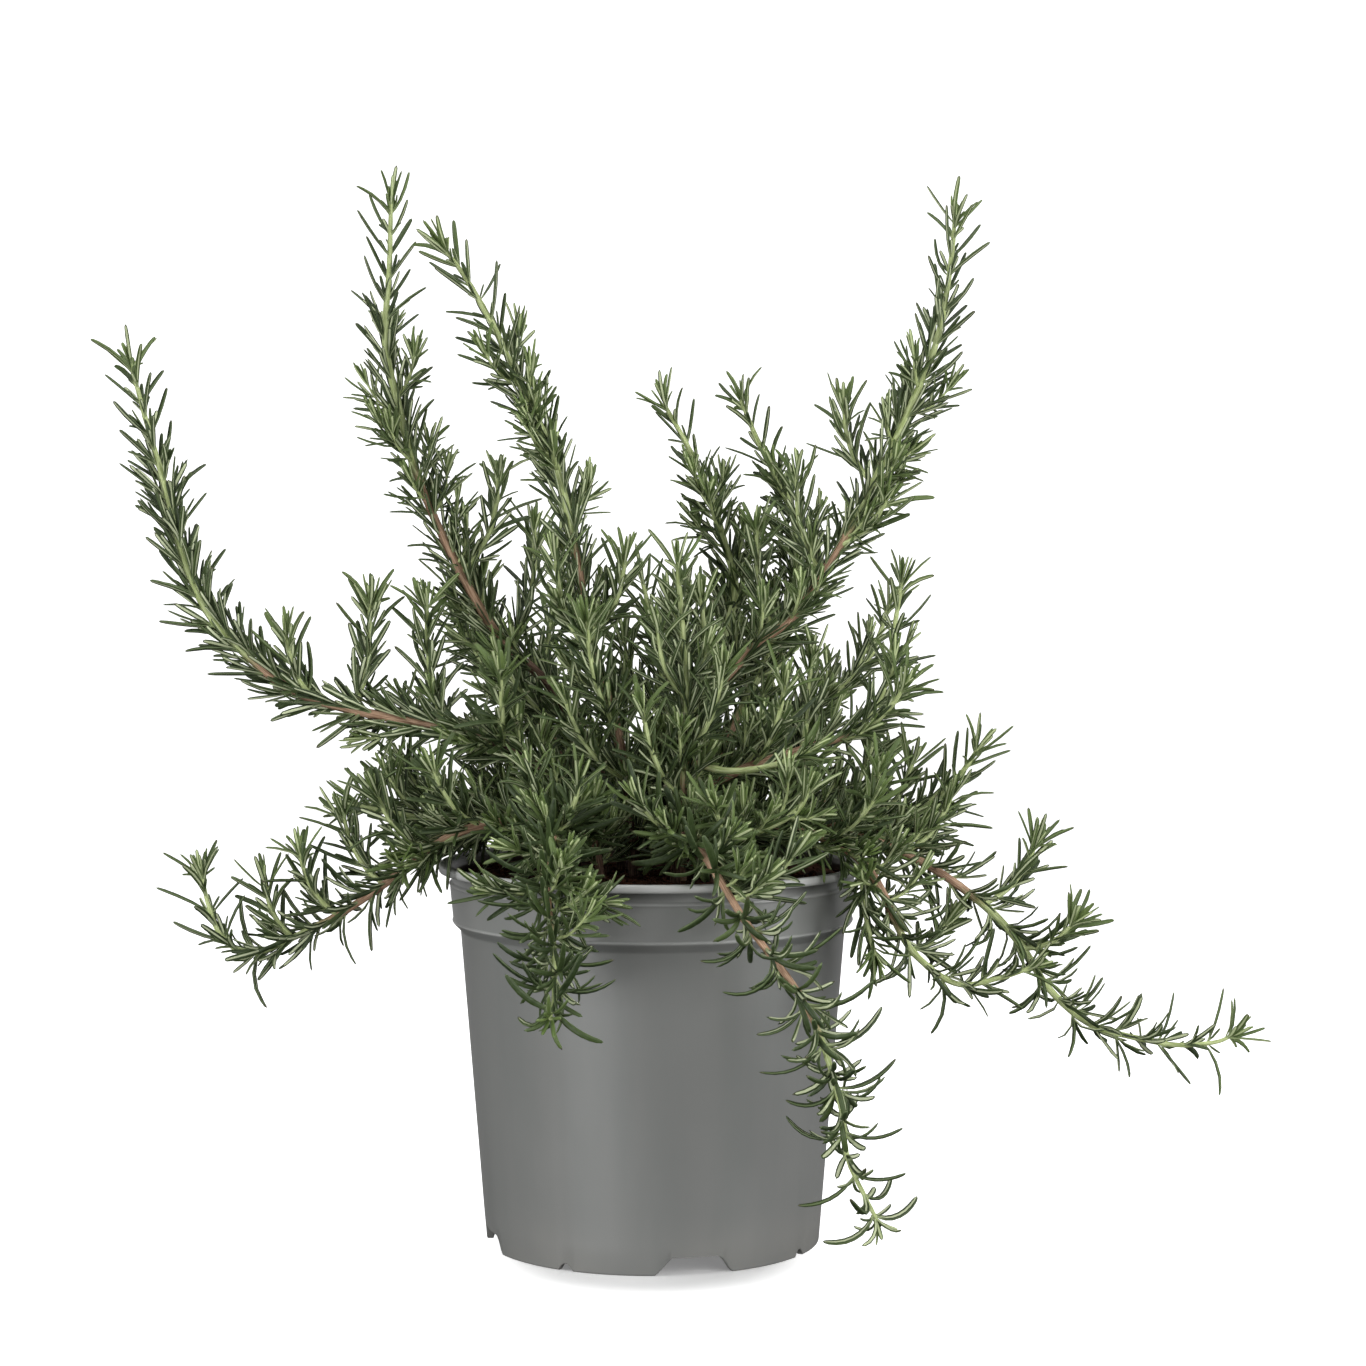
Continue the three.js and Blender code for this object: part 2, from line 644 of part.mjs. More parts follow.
// A pair of rings close together, with a needle raised from each side between them
function addWhorl(skin, branch, last, distance, key) {
  const { sides, line } = branch;
  const frame = ringFrame(line, distance, last.across);
  const size = radiusAt(branch, distance);
  const lowPoints = ringPoints(frame, -WHORL_HALF_HEIGHT, size, sides, last.turn);
  const highPoints = ringPoints(frame, WHORL_HALF_HEIGHT, size, sides, last.turn);
  const [low, high] = [skin.addRing(lowPoints), skin.addRing(highPoints)];
  skin.join(last.ring, low);
  for (let k = 0; k < sides; k += 1) {
    const m = skin.next(k);
    const base = lowPoints[k].clone().add(highPoints[m]).multiplyScalar(0.5);
    const needle = clearNeedle(base, frame, branch, distance, key + k);
    if (needle) {
      skin.raise(low[k], low[m], high[m], high[k], needle);
    } else {
      skin.flat(low[k], low[m], high[m], high[k]);
    }
  }
  return { ring: high, across: frame.across, turn: last.turn + Math.PI / sides };
}

// One closed mesh for a branch: a slim core of rings with needles raised from its sides
function branchSolid(branch) {
  const { line, key, first, sides } = branch;
  const skin = newSkin(sides);
  let last = addBareStretch(skin, branch, addFoot(skin, branch));
  const leafy = line.length - LAST_WHORL_FROM_END - first;
  const gaps = Math.max(1, Math.round(leafy / branch.spacing));
  for (let i = 0; i <= gaps; i += 1) {
    last = addWhorl(skin, branch, last, first + (leafy * i) / gaps, key + i * 10);
  }
  const end = ringFrame(line, line.length, last.across);
  skin.closeAbove(last.ring, end.middle.clone().addScaledVector(end.along, BUD_BEYOND_END));
  return skin.solid();
}

// Scene graph

function meshOf(name, solid, color, roughness) {
  const material = new THREE.MeshStandardMaterial({ color, roughness, metalness: 0 });
  const mesh = new THREE.Mesh(toGeometry(solid), material);
  mesh.name = name;
  return mesh;
}

const plant = new THREE.Group();
plant.add(meshOf('pot', makePot(), POT_GREY, 0.45));
plant.add(meshOf('soil', makeSoil(), PEAT_BROWN, 1));

const stemBranches = STEMS.map(branchesOf);
takeStems(stemBranches.flat());
for (const branches of stemBranches) {
  const [main, ...shoots] = branches.map(branchSolid);
  const fused = shoots.reduce((whole, shoot) => whole.add(shoot), main);
  plant.add(meshOf(branches[0].stem.name, fused, LEAF_GREEN, 0.6));
}

const outline = new THREE.Box3().setFromObject(plant);
const middle = outline.getCenter(new THREE.Vector3());
plant.position.set(-middle.x, -middle.y, 0);

export default plant;
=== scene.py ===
# %% [markdown]
# # A rosemary plant in a nursery pot
# The plant is a rosemary bush: long stems that arch, stand or trail, set with pairs of narrow needles, and
# rooted in dark peat in a round grey plastic pot. The CAD model gives the pot its sizes and every stem its
# route, but its stems are thin rods with a few wedge-shaped needles. This lesson dresses each of them. It
# turns a finer pot, heaps crumbly peat, and grows bark and thousands of needles along the same routes, in
# metres and in the CAD's own frame.

# %% Open the frame
import math

import bmesh
import bpy
import numpy as np
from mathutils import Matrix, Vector, noise


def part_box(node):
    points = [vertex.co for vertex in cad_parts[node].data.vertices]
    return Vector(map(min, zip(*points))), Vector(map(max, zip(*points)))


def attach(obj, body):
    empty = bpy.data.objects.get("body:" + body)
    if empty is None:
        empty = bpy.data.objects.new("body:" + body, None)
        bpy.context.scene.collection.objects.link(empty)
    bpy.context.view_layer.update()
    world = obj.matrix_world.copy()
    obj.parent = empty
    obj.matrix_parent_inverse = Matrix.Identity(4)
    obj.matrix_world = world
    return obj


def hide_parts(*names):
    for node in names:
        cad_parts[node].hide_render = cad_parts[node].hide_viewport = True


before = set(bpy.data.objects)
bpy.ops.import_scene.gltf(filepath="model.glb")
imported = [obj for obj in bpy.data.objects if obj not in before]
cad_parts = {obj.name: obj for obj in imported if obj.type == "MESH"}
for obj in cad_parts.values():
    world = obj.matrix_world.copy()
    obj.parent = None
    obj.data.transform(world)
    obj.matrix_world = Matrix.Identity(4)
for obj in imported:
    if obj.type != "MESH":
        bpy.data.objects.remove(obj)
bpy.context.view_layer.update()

MM = 0.001
UPRIGHT = np.array([0, 0, 1.0])
pot_low, pot_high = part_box("pot")
POT_AXIS = np.array([(pot_low.x + pot_high.x) / 2, (pot_low.y + pot_high.y) / 2, 0.0])
print("pot axis, mm:", (POT_AXIS / MM).round(2))

# %% [markdown]
# ## Camera
# The rim of the pot shows as a flat ellipse, so the camera stood well above the rim and looked slightly
# down. Its distance follows from how much wider the front of the pot looks than its back. A long lens keeps
# the stems that lean towards the camera from looking too large.

# %% Camera
CAMERA_DISTANCE = 1.4428
CAMERA_HEIGHT = 0.3268
CAMERA_ACROSS = 0.0004
CAMERA_TILT = math.radians(3.1)
LENS_MM = 85.8
SENSOR_MM = 36


def add_object(name, data):
    """A new object that shows the data in the scene."""
    made = bpy.data.objects.new(name, data)
    bpy.context.scene.collection.objects.link(made)
    return made


camera = add_object("camera", bpy.data.cameras.new("camera"))
camera.data.lens = LENS_MM
camera.data.sensor_width = SENSOR_MM
camera.location = (CAMERA_ACROSS, POT_AXIS[1] - CAMERA_DISTANCE, CAMERA_HEIGHT)
camera.rotation_euler = (math.radians(90) - CAMERA_TILT, 0, 0)
bpy.context.scene.camera = camera
print("camera at", [round(part, 3) for part in camera.location], "lens", LENS_MM, "mm")

# %% [markdown]
# ## Materials as recipes
# Every finish is a small net of nodes. Writing the net call by call is long, so one class keeps a material
# and adds a node with each short call. The tones are written as the 0 to 255 values of a picture. Blender
# mixes light in linear values, so a helper converts them. A mix node has one set of sockets for each kind
# of value, and the four numbers below are those for colours.

# %% A recipe for each material
MIX_SHARE, MIX_FIRST, MIX_SECOND, MIX_RESULT = 0, 6, 7, 2


def tone(red, green, blue):
    """A picture's 0 to 255 tone as the linear colour that shaders use."""
    shares = [part / 255 for part in (red, green, blue)]
    linear = [part / 12.92 if part <= 0.04045 else ((part + 0.055) / 1.055) ** 2.4 for part in shares]
    return (*linear, 1.0)


def feed(socket, value):
    """Gives a socket a plain value, or links it to another node's output."""
    if isinstance(value, bpy.types.NodeSocket):
        value.id_data.links.new(value, socket)
    else:
        socket.default_value = value


class Recipe:
    """A material, with one short call for each kind of node that the finishes need."""

    def __init__(self, name, roughness, specular=0.5):
        self.material = bpy.data.materials.new(name)
        self.material.use_nodes = True
        self.nodes = self.material.node_tree.nodes
        self.shader = self.nodes["Principled BSDF"]
        self.shader.inputs["Roughness"].default_value = roughness
        self.shader.inputs["Specular IOR Level"].default_value = specular

    def place(self):
        """Where a point of the piece lies, in metres."""
        return self.nodes.new("ShaderNodeTexCoord").outputs["Object"]

    def stored(self, name):
        """The three numbers that the mesh keeps under this name."""
        node = self.nodes.new("ShaderNodeAttribute")
        node.attribute_name = name
        return self.parts(node.outputs["Vector"])

    def parts(self, vector):
        """A vector's three numbers."""
        node = self.nodes.new("ShaderNodeSeparateXYZ")
        feed(node.inputs[0], vector)
        return node.outputs[:]

    def joined(self, x, y, z):
        """A vector from three numbers."""
        node = self.nodes.new("ShaderNodeCombineXYZ")
        for socket, value in zip(node.inputs, (x, y, z)):
            feed(socket, value)
        return node.outputs[0]

    def stretched(self, vector, scale):
        """The vector, scaled by its own amount along each axis."""
        node = self.nodes.new("ShaderNodeVectorMath")
        node.operation = "MULTIPLY"
        feed(node.inputs[0], vector)
        node.inputs[1].default_value = scale
        return node.outputs[0]

    def distance(self, vector, centre):
        """How far each point is from an upright axis through the centre."""
        node = self.nodes.new("ShaderNodeVectorMath")
        feed(node.inputs[0], vector)
        node.inputs[1].default_value = [-part for part in centre]
        x, y, _ = self.parts(node.outputs[0])
        return self.math("SQRT", self.math("ADD", self.math("MULTIPLY", x, x), self.math("MULTIPLY", y, y)))

    def cloud(self, vector, scale, detail=3.0):
        """Soft noise from 0 to 1."""
        node = self.nodes.new("ShaderNodeTexNoise")
        feed(node.inputs["Vector"], vector)
        node.inputs["Scale"].default_value = scale
        node.inputs["Detail"].default_value = detail
        return node.outputs["Fac"]

    def math(self, operation, first, second=0.5):
        """One step of arithmetic. A root or a plain size takes no second number."""
        node = self.nodes.new("ShaderNodeMath")
        node.operation = operation
        feed(node.inputs[0], first)
        feed(node.inputs[1], second)
        return node.outputs[0]

    def band(self, value, middle, half):
        """1 where the value is at the middle, falling smoothly to 0 at half away on either side."""
        return self.span(self.math("ABSOLUTE", self.math("SUBTRACT", value, middle)), half, 0.0)

    def span(self, value, low, high, start=0.0, end=1.0):
        """The value's place between low and high, from start to end, smooth at both ends."""
        node = self.nodes.new("ShaderNodeMapRange")
        node.interpolation_type = "SMOOTHSTEP"
        for socket, part in zip(node.inputs, (value, low, high, start, end)):
            feed(socket, part)
        return node.outputs[0]

    def mix(self, share, first, second):
        """The first colour where the share is 0, the second where it is 1."""
        node = self.nodes.new("ShaderNodeMix")
        node.data_type = "RGBA"
        feed(node.inputs[MIX_SHARE], share)
        feed(node.inputs[MIX_FIRST], first)
        feed(node.inputs[MIX_SECOND], second)
        return node.outputs[MIX_RESULT]

    def bump(self, height, strength, distance):
        """Adds fine relief, on top of any that is there already."""
        node = self.nodes.new("ShaderNodeBump")
        node.inputs["Strength"].default_value = strength
        node.inputs["Distance"].default_value = distance
        feed(node.inputs["Height"], height)
        normal = self.shader.inputs["Normal"]
        if normal.links:
            feed(node.inputs["Normal"], normal.links[0].from_socket)
        feed(normal, node.outputs["Normal"])

    def finish(self, colour, roughness=None):
        """Gives the shader its colour, and its roughness where that varies."""
        feed(self.shader.inputs["Base Color"], colour)
        if roughness is not None:
            feed(self.shader.inputs["Roughness"], roughness)
        return self.material


print("mid grey is", round(tone(128, 128, 128)[0], 3), "in linear light")

# %% [markdown]
# ## Turning and adding pieces
# The pot, the peat and the studio floor are all round. A round piece is turned: a profile of radius and
# height is swept once round the axis, as clay on a wheel is. Only the points on the axis itself are shared
# by all the slices. Every piece then gets its object at the origin, with its place in its mesh.

# %% Turned meshes and new pieces


def turned(profile, slices):
    """Points and faces of a (radius, height) profile, listed upwards along the outside, swept round +Z."""
    turns = np.arange(slices) * math.tau / slices
    ring = np.stack([np.cos(turns), np.sin(turns)], axis=1)
    points, rows = [], []
    for radius, height in profile:
        rows.append((len(points), radius > 0))
        if radius > 0:
            points += [(radius * x, radius * y, height) for x, y in ring]
        else:
            points.append((0.0, 0.0, height))
    faces = []
    for (low, low_open), (high, high_open) in zip(rows, rows[1:]):
        for i in range(slices):
            k = (i + 1) % slices
            if low_open and high_open:
                faces.append((low + i, low + k, high + k, high + i))
            elif low_open:
                faces.append((low + i, low + k, high))
            elif high_open:
                faces.append((low, high + k, high + i))
    return np.array(points), faces


def new_piece(name, points, faces, material):
    """A smooth mesh object."""
    mesh = bpy.data.meshes.new(name)
    mesh.from_pydata(points.tolist(), [], faces)
    mesh.materials.append(material)
    mesh.shade_smooth()
    return add_object(name, mesh)


def mesh_of(form, name):
    """A mesh from a bmesh form that is done with."""
    mesh = bpy.data.meshes.new(name)
    form.to_mesh(mesh)
    form.free()
    return mesh


def triangles(piece):
    """How many triangles the piece has once its larger faces are split."""
    return sum(len(face.vertices) - 2 for face in piece.data.polygons)


cone_points, cone_faces = turned([(1, 0), (0, 2)], 8)
print("a cone of 8 slices has", len(cone_points), "points and", len(cone_faces), "sides")

# %% [markdown]
# ## Studio
# The plant stands on a pale floor that curves up into a pale wall all round, so that no horizon shows. The
# floor glows, a little under the pot and strongly further out, as white paper under its own lamps does, so
# that only a thin shadow shows in front of the pot.

# %% Floor
FLOOR_RADIUS = 2.6
FLOOR_RING = 0.8
FLOOR_SLICES = 96
BEND_STEPS = 13
WALL_RADIUS = 3.2
WALL_HEIGHT = 2.2
FLOOR_GLOW = 0.2
WALL_GLOW = 1.1
GLOW_CENTRE = (POT_AXIS[0], POT_AXIS[1] - 0.045, 0.0)
GLOW_STARTS = 0.042
GLOW_ENDS = 0.085


def paper_white():
    """Faintly fibrous paper, which glows more the further it is from the pot."""
    recipe = Recipe("pale_paper", roughness=0.7, specular=0.2)
    place = recipe.place()
    fibres = recipe.cloud(place, 40)
    glow = recipe.span(recipe.distance(place, GLOW_CENTRE), GLOW_STARTS, GLOW_ENDS, FLOOR_GLOW, WALL_GLOW)
    recipe.shader.inputs["Emission Color"].default_value = (1, 1, 1, 1)
    feed(recipe.shader.inputs["Emission Strength"], glow)
    recipe.material.cycles.emission_sampling = "NONE"
    return recipe.finish(recipe.mix(fibres, tone(226, 226, 226), tone(232, 232, 232)))


def make_floor():
    """A flat disc that bends up into a wall. It doesn't light or shade the plant, or show in its gloss."""
    bend = WALL_RADIUS - FLOOR_RADIUS
    curve = [(FLOOR_RADIUS + bend * math.sin(a), bend - bend * math.cos(a))
             for a in np.linspace(0, math.pi / 2, BEND_STEPS)]
    profile = [(0.0, 0.0), (FLOOR_RING, 0.0), *curve, (WALL_RADIUS, WALL_HEIGHT)]
    points, faces = turned(profile, FLOOR_SLICES)
    floor = new_piece("floor", points, [face[::-1] for face in faces], paper_white())
    floor.visible_diffuse = False
    floor.visible_glossy = False
    floor.visible_shadow = False
    return floor


make_floor()
print("floor glow from", FLOOR_GLOW, "to", WALL_GLOW)

# %% [markdown]
# The floor's glow doesn't light the plant. Broad softboxes do, from the left, the front right, the right
# and overhead. The wall of the pot leans out, so what it mirrors is the floor: two lamps under the floor
# stand for the floor's bright patches, and the stronger one draws the soft light band on the left of the
# pot.

# %% Lamps
LOOK_AT = Vector((0.0, 0.0, 0.22))
LAMPS = [
    dict(name="lamp_left", place=(-1.15, -0.66, 1.6), size=(0.9, 1.2), watts=15.5),
    dict(name="lamp_front_right", place=(0.85, -1.45, 0.8), size=(0.6, 1.2), watts=9.5),
    dict(name="lamp_right", place=(1.5, -0.85, 0.8), size=(0.6, 1.2), watts=16),
    dict(name="lamp_top", place=(0.1, 0.1, 1.9), size=(1.4, 1.4), watts=16),
    dict(name="floor_patch_left", place=(-1.0, -1.36, -0.1), size=(1.1, 0.4), watts=15),
    dict(name="floor_patch_right", place=(1.62, -0.45, -0.08), size=(0.8, 0.35), watts=3),
]


def softbox(name, place, size, watts):
    """A rectangular lamp that faces the plant and isn't seen itself."""
    lamp = add_object(name, bpy.data.lights.new(name, "AREA"))
    lamp.data.shape = "RECTANGLE"
    lamp.data.size, lamp.data.size_y = size
    lamp.data.energy = watts
    lamp.location = place
    lamp.rotation_euler = (LOOK_AT - Vector(place)).to_track_quat("-Z", "Y").to_euler()
    lamp.visible_camera = False


for lamp in LAMPS:
    softbox(**lamp)
print(len(LAMPS), "lamps with", sum(lamp["watts"] for lamp in LAMPS), "watts in all")

# %% [markdown]
# The rest of the light is a sky that is bright only in a band round the horizon, like a far white wall.
# That is easier to balance than a lit room, and much quicker to render.

# %% Sky
SKY_LIGHT = 0.03
BAND_LIGHT = 0.48
BAND_HEIGHT = 0.4


def studio_sky():
    """A dark sky with a bright band round the horizon."""
    sky = bpy.data.worlds.new("studio")
    sky.use_nodes = True
    nodes = sky.node_tree.nodes
    direction = nodes.new("ShaderNodeSeparateXYZ")
    feed(direction.inputs[0], nodes.new("ShaderNodeTexCoord").outputs["Generated"])
    height = nodes.new("ShaderNodeMath")
    height.operation = "ABSOLUTE"
    feed(height.inputs[0], direction.outputs["Z"])
    band = nodes.new("ShaderNodeMapRange")
    band.interpolation_type = "SMOOTHSTEP"
    for socket, value in zip(band.inputs, (height.outputs[0], 0.0, BAND_HEIGHT, BAND_LIGHT, SKY_LIGHT)):
        feed(socket, value)
    feed(nodes["Background"].inputs["Strength"], band.outputs[0])
    nodes["Background"].inputs["Color"].default_value = (1, 1, 1, 1)
    return sky


bpy.context.scene.world = studio_sky()
bpy.context.scene.view_settings.view_transform = "Standard"
print("sky light from", BAND_LIGHT, "at the horizon to", SKY_LIGHT, "overhead")

# %% [markdown]
# ## Pot: shape
# The pot is one thin plastic moulding. Going up from the foot ring, the wall leans out to a small ledge,
# stands nearly upright as a collar, and flares into a lip, with a dark groove under it. Boxes joined by
# Booleans would leave hard edges, so the whole section is drawn once as a profile, its corners are rounded,
# and it is turned. The main sizes are the CAD's own, or lie within a millimetre of them. Each corner has
# its radius, its height and its rounding, in millimetres.

# %% Pot profile
RIM_RADIUS = 95
POT_HEIGHT = 169.5
LIP_BOTTOM = 166
COLLAR_RADIUS = 89.2
COLLAR_TOP = 159
COLLAR_BOTTOM = 144.5
LEDGE_BOTTOM = 139.8
BODY_TOP_RADIUS = 85.4
BASE_RADIUS = 74.2
WALL = 1.8
FOOT_WIDTH = 3
FLOOR_UNDERSIDE = 9
FLOOR_TOP = 11
FOOT_SHARE = 0.09
NECK_RADIUS = 89.7
NECK_BOTTOM = 161.2
POT_SLICES = 320

POT_PROFILE = [
    (0, FLOOR_UNDERSIDE, 0),
    (BASE_RADIUS - FOOT_WIDTH, FLOOR_UNDERSIDE, 0.6),
    (BASE_RADIUS - FOOT_WIDTH, 0, 0.5),
    (BASE_RADIUS, 0, 0.8),
    (BASE_RADIUS + (BODY_TOP_RADIUS - BASE_RADIUS) * FOOT_SHARE, LEDGE_BOTTOM * FOOT_SHARE, 0),
    (BODY_TOP_RADIUS, LEDGE_BOTTOM, 0.8),
    (COLLAR_RADIUS - 0.7, COLLAR_BOTTOM - 1.6, 0.8),
    (COLLAR_RADIUS, COLLAR_BOTTOM - 0.5, 0.4),
    (COLLAR_RADIUS - 0.5, COLLAR_BOTTOM + 0.2, 0.3),
    (NECK_RADIUS + 0.4, NECK_BOTTOM - 1.6, 0.5),
    (NECK_RADIUS + 0.8, NECK_BOTTOM - 0.9, 0.3),
    (NECK_RADIUS - 0.2, NECK_BOTTOM + 0.4, 0.3),
    (NECK_RADIUS - 0.8, LIP_BOTTOM + 0.3, 0.4),
    (RIM_RADIUS - 1.6, LIP_BOTTOM + 0.6, 0.5),
    (RIM_RADIUS - 1.0, LIP_BOTTOM - 0.3, 0.4),
    (RIM_RADIUS, LIP_BOTTOM - 0.2, 0.5),
    (RIM_RADIUS, POT_HEIGHT, 1.5),
    (RIM_RADIUS - 5.2, POT_HEIGHT - 0.3, 2.0),
    (COLLAR_RADIUS - WALL, LIP_BOTTOM - 0.5, 1.0),
    (COLLAR_RADIUS - WALL, COLLAR_TOP, 1.0),
    (COLLAR_RADIUS - WALL - 0.6, COLLAR_BOTTOM, 1.0),
    (BODY_TOP_RADIUS - WALL, LEDGE_BOTTOM, 1.0),
    (BASE_RADIUS - WALL, FLOOR_TOP, 1.5),
    (0, FLOOR_TOP, 0),
]
CORNER_STEPS = 4
LONGEST_ROUNDING = 0.45


def rounded(profile):
    """The profile as (radius, height) points, each corner eased by a short curve."""
    eased = []
    for i, (radius, height, rounding) in enumerate(profile):
        corner = np.array([radius, height], float)
        if not rounding:
            eased.append(corner)
            continue
        before = np.array(profile[i - 1][:2], float) - corner
        after = np.array(profile[i + 1][:2], float) - corner
        reach = [min(rounding, np.linalg.norm(side) * LONGEST_ROUNDING) for side in (before, after)]
        start = corner + before / np.linalg.norm(before) * reach[0]
        end = corner + after / np.linalg.norm(after) * reach[1]
        for share in np.linspace(0, 1, CORNER_STEPS):
            eased.append((1 - share) ** 2 * start + 2 * share * (1 - share) * corner + share ** 2 * end)
    return [tuple(point) for point in eased]


pot_profile = rounded(POT_PROFILE)
print("pot profile has", len(pot_profile), "points")

# %% [markdown]
# The foot ring isn't whole: four wide cut-outs and four small notches let water drain away. Cutting them
# with Booleans would leave ragged shading, so the lower edge of the ring is lifted instead: each point of
# the foot moves up by a height that depends only on its angle round the pot. On the real pot a cut-out has
# a straight slanted left side and a rounded right side.

# %% Foot cut-outs
CUT_OUT = dict(count=4, first=-75.5, bottom=34, top=20, height=7.5)
NOTCH = dict(count=4, first=-120, bottom=6, top=3, height=3)
FOOT_TOP = 8.4


def foot_lift(degrees):
    """How far the lower edge of the foot is raised at each angle, in millimetres."""
    lift = np.zeros_like(degrees)
    for cut in (CUT_OUT, NOTCH):
        slope = (cut["bottom"] - cut["top"]) / 2
        for i in range(cut["count"]):
            middle = cut["first"] + i * 360 / cut["count"]
            away = (degrees - middle + 180) % 360 - 180
            across = np.radians(away) * BASE_RADIUS
            share = np.clip((cut["bottom"] / 2 - np.abs(across)) / slope, 0, 1)
            share = np.where(across > 0, np.sin(share * math.pi / 2), share)
            lift = np.maximum(lift, cut["height"] * share)
    return lift


def cut_foot(points):
    """Squeezes the foot upwards wherever a cut-out is, so that the ring stays closed."""
    out = np.hypot(points[:, 0], points[:, 1])
    in_foot = (points[:, 2] < FOOT_TOP) & (out > BASE_RADIUS - FOOT_WIDTH - 0.1)
    degrees = np.degrees(np.arctan2(points[:, 1], points[:, 0]))
    lift = foot_lift(degrees)
    raised = lift + points[:, 2] * (FOOT_TOP - lift) / FOOT_TOP
    points[:, 2] = np.where(in_foot, raised, points[:, 2])


print("foot lift at a cut-out and beside it, mm:", foot_lift(CUT_OUT["first"] + np.array([0.0, 20.0])))

# %% [markdown]
# The drain holes in the floor are true holes with sharp edges, so those are cut by a Boolean, with one rod
# each.

# %% Drain holes
DRAIN_HOLE_RADIUS = 4.5
DRAIN_HOLE_PLACE = 58
DRAIN_ROD_LENGTH = 8
DRAIN_ROD_SIDES = 32


def drain_cutters():
    """One upright rod for each drain hole."""
    form = bmesh.new()
    for i in range(CUT_OUT["count"]):
        angle = math.radians(CUT_OUT["first"] + i * 360 / CUT_OUT["count"])
        rod = bmesh.ops.create_cone(form, cap_ends=True, segments=DRAIN_ROD_SIDES,
                                    radius1=DRAIN_HOLE_RADIUS * MM, radius2=DRAIN_HOLE_RADIUS * MM,
                                    depth=DRAIN_ROD_LENGTH * MM)
        middle = POT_AXIS + np.array([math.cos(angle), math.sin(angle), 0]) * DRAIN_HOLE_PLACE * MM
        height = (FLOOR_UNDERSIDE + FLOOR_TOP) / 2 * MM
        bmesh.ops.translate(form, verts=rod["verts"], vec=(middle[0], middle[1], height))
    return add_object("drain_cutters", mesh_of(form, "drain_cutters"))


def pierce(piece, cutters):
    """Cuts the cutters out of the piece for good, and removes them."""
    boolean = piece.modifiers.new("holes", "BOOLEAN")
    boolean.operation = "DIFFERENCE"
    boolean.object = cutters
    pierced = bpy.data.meshes.new_from_object(piece.evaluated_get(bpy.context.evaluated_depsgraph_get()))
    piece.modifiers.clear()
    piece.data = pierced
    bpy.data.objects.remove(cutters)


print(CUT_OUT["count"], "drain holes,", 2 * DRAIN_HOLE_RADIUS, "mm wide")

# %% [markdown]
# ## Pot: plastic
# The plastic is a mid grey polypropylene with a satin skin. It isn't even: recycled resin flows leave faint
# upright streaks and clouds, handling leaves duller patches, dust gathers above the foot, and the inner side
# of the wall is darker brown high up. Light and shade are painted in too: painted shade darkens the groove
# under the lip, painted highlights make the lip and two edges paler, and painted light lifts the collar out
# of the lip's shade. The streaks are noise that is stretched along the height. The skin's fine grain is
# bump, too small to model.

# %% Grey plastic
DUST_HEIGHT = 30
POT_CREASE = math.radians(40)


def painted_light_by_height(recipe, grey, height):
    """Painted shade under the lip, painted highlights on the lip and two edges, painted light on the collar.
    """
    # Painted shade darkens the groove under the lip.
    into_groove = recipe.span(height, NECK_BOTTOM * MM, (LIP_BOTTOM - 1.5) * MM, 0.0, 0.75)
    under_lip = recipe.span(height, (LIP_BOTTOM + 0.2) * MM, (LIP_BOTTOM - 0.3) * MM)
    lip_groove_shade = recipe.math("MULTIPLY", into_groove, under_lip)
    grey = recipe.mix(lip_groove_shade, grey, tone(74, 75, 72))
    # Painted highlight: the lip is made paler, where it catches the light from above.
    lip_highlight_and_worn_tip = recipe.span(height, (LIP_BOTTOM - 0.5) * MM, (LIP_BOTTOM + 1.5) * MM, 0.0, 0.9)
    grey = recipe.mix(lip_highlight_and_worn_tip, grey, tone(198, 199, 197))
    # Painted light: everything from the collar up is made a little paler, to lift the collar out of the
    # lip's shade.
    collar_light = recipe.span(height, (COLLAR_BOTTOM - 2) * MM, COLLAR_BOTTOM * MM, 0.0, 0.2)
    grey = recipe.mix(collar_light, grey, tone(150, 151, 149))
    # Painted highlights: pale lines along the collar's lower edge and the ridge under the neck, where light
    # catches them.
    for edge in (COLLAR_BOTTOM - 0.5, NECK_BOTTOM - 0.6):
        edge_highlight = recipe.math("MULTIPLY", recipe.band(height, edge * MM, 1.0 * MM), 0.7)
        grey = recipe.mix(edge_highlight, grey, tone(170, 171, 169))
    return grey


def brown_inside_wall(recipe, grey, place, height):
    """Brown plastic on the inner side of the wall, above the middle of the collar."""
    # Darker brown on the inner side of the wall, high up.
    radius = recipe.distance(place, POT_AXIS)
    inner = recipe.span(radius, (COLLAR_RADIUS - 0.3) * MM, (COLLAR_RADIUS - 1) * MM, 0.0, 0.8)
    high_up = recipe.span(height, (COLLAR_BOTTOM + 5) * MM, (COLLAR_BOTTOM + 6) * MM)
    return recipe.mix(recipe.math("MULTIPLY", inner, high_up), grey, tone(66, 50, 42))


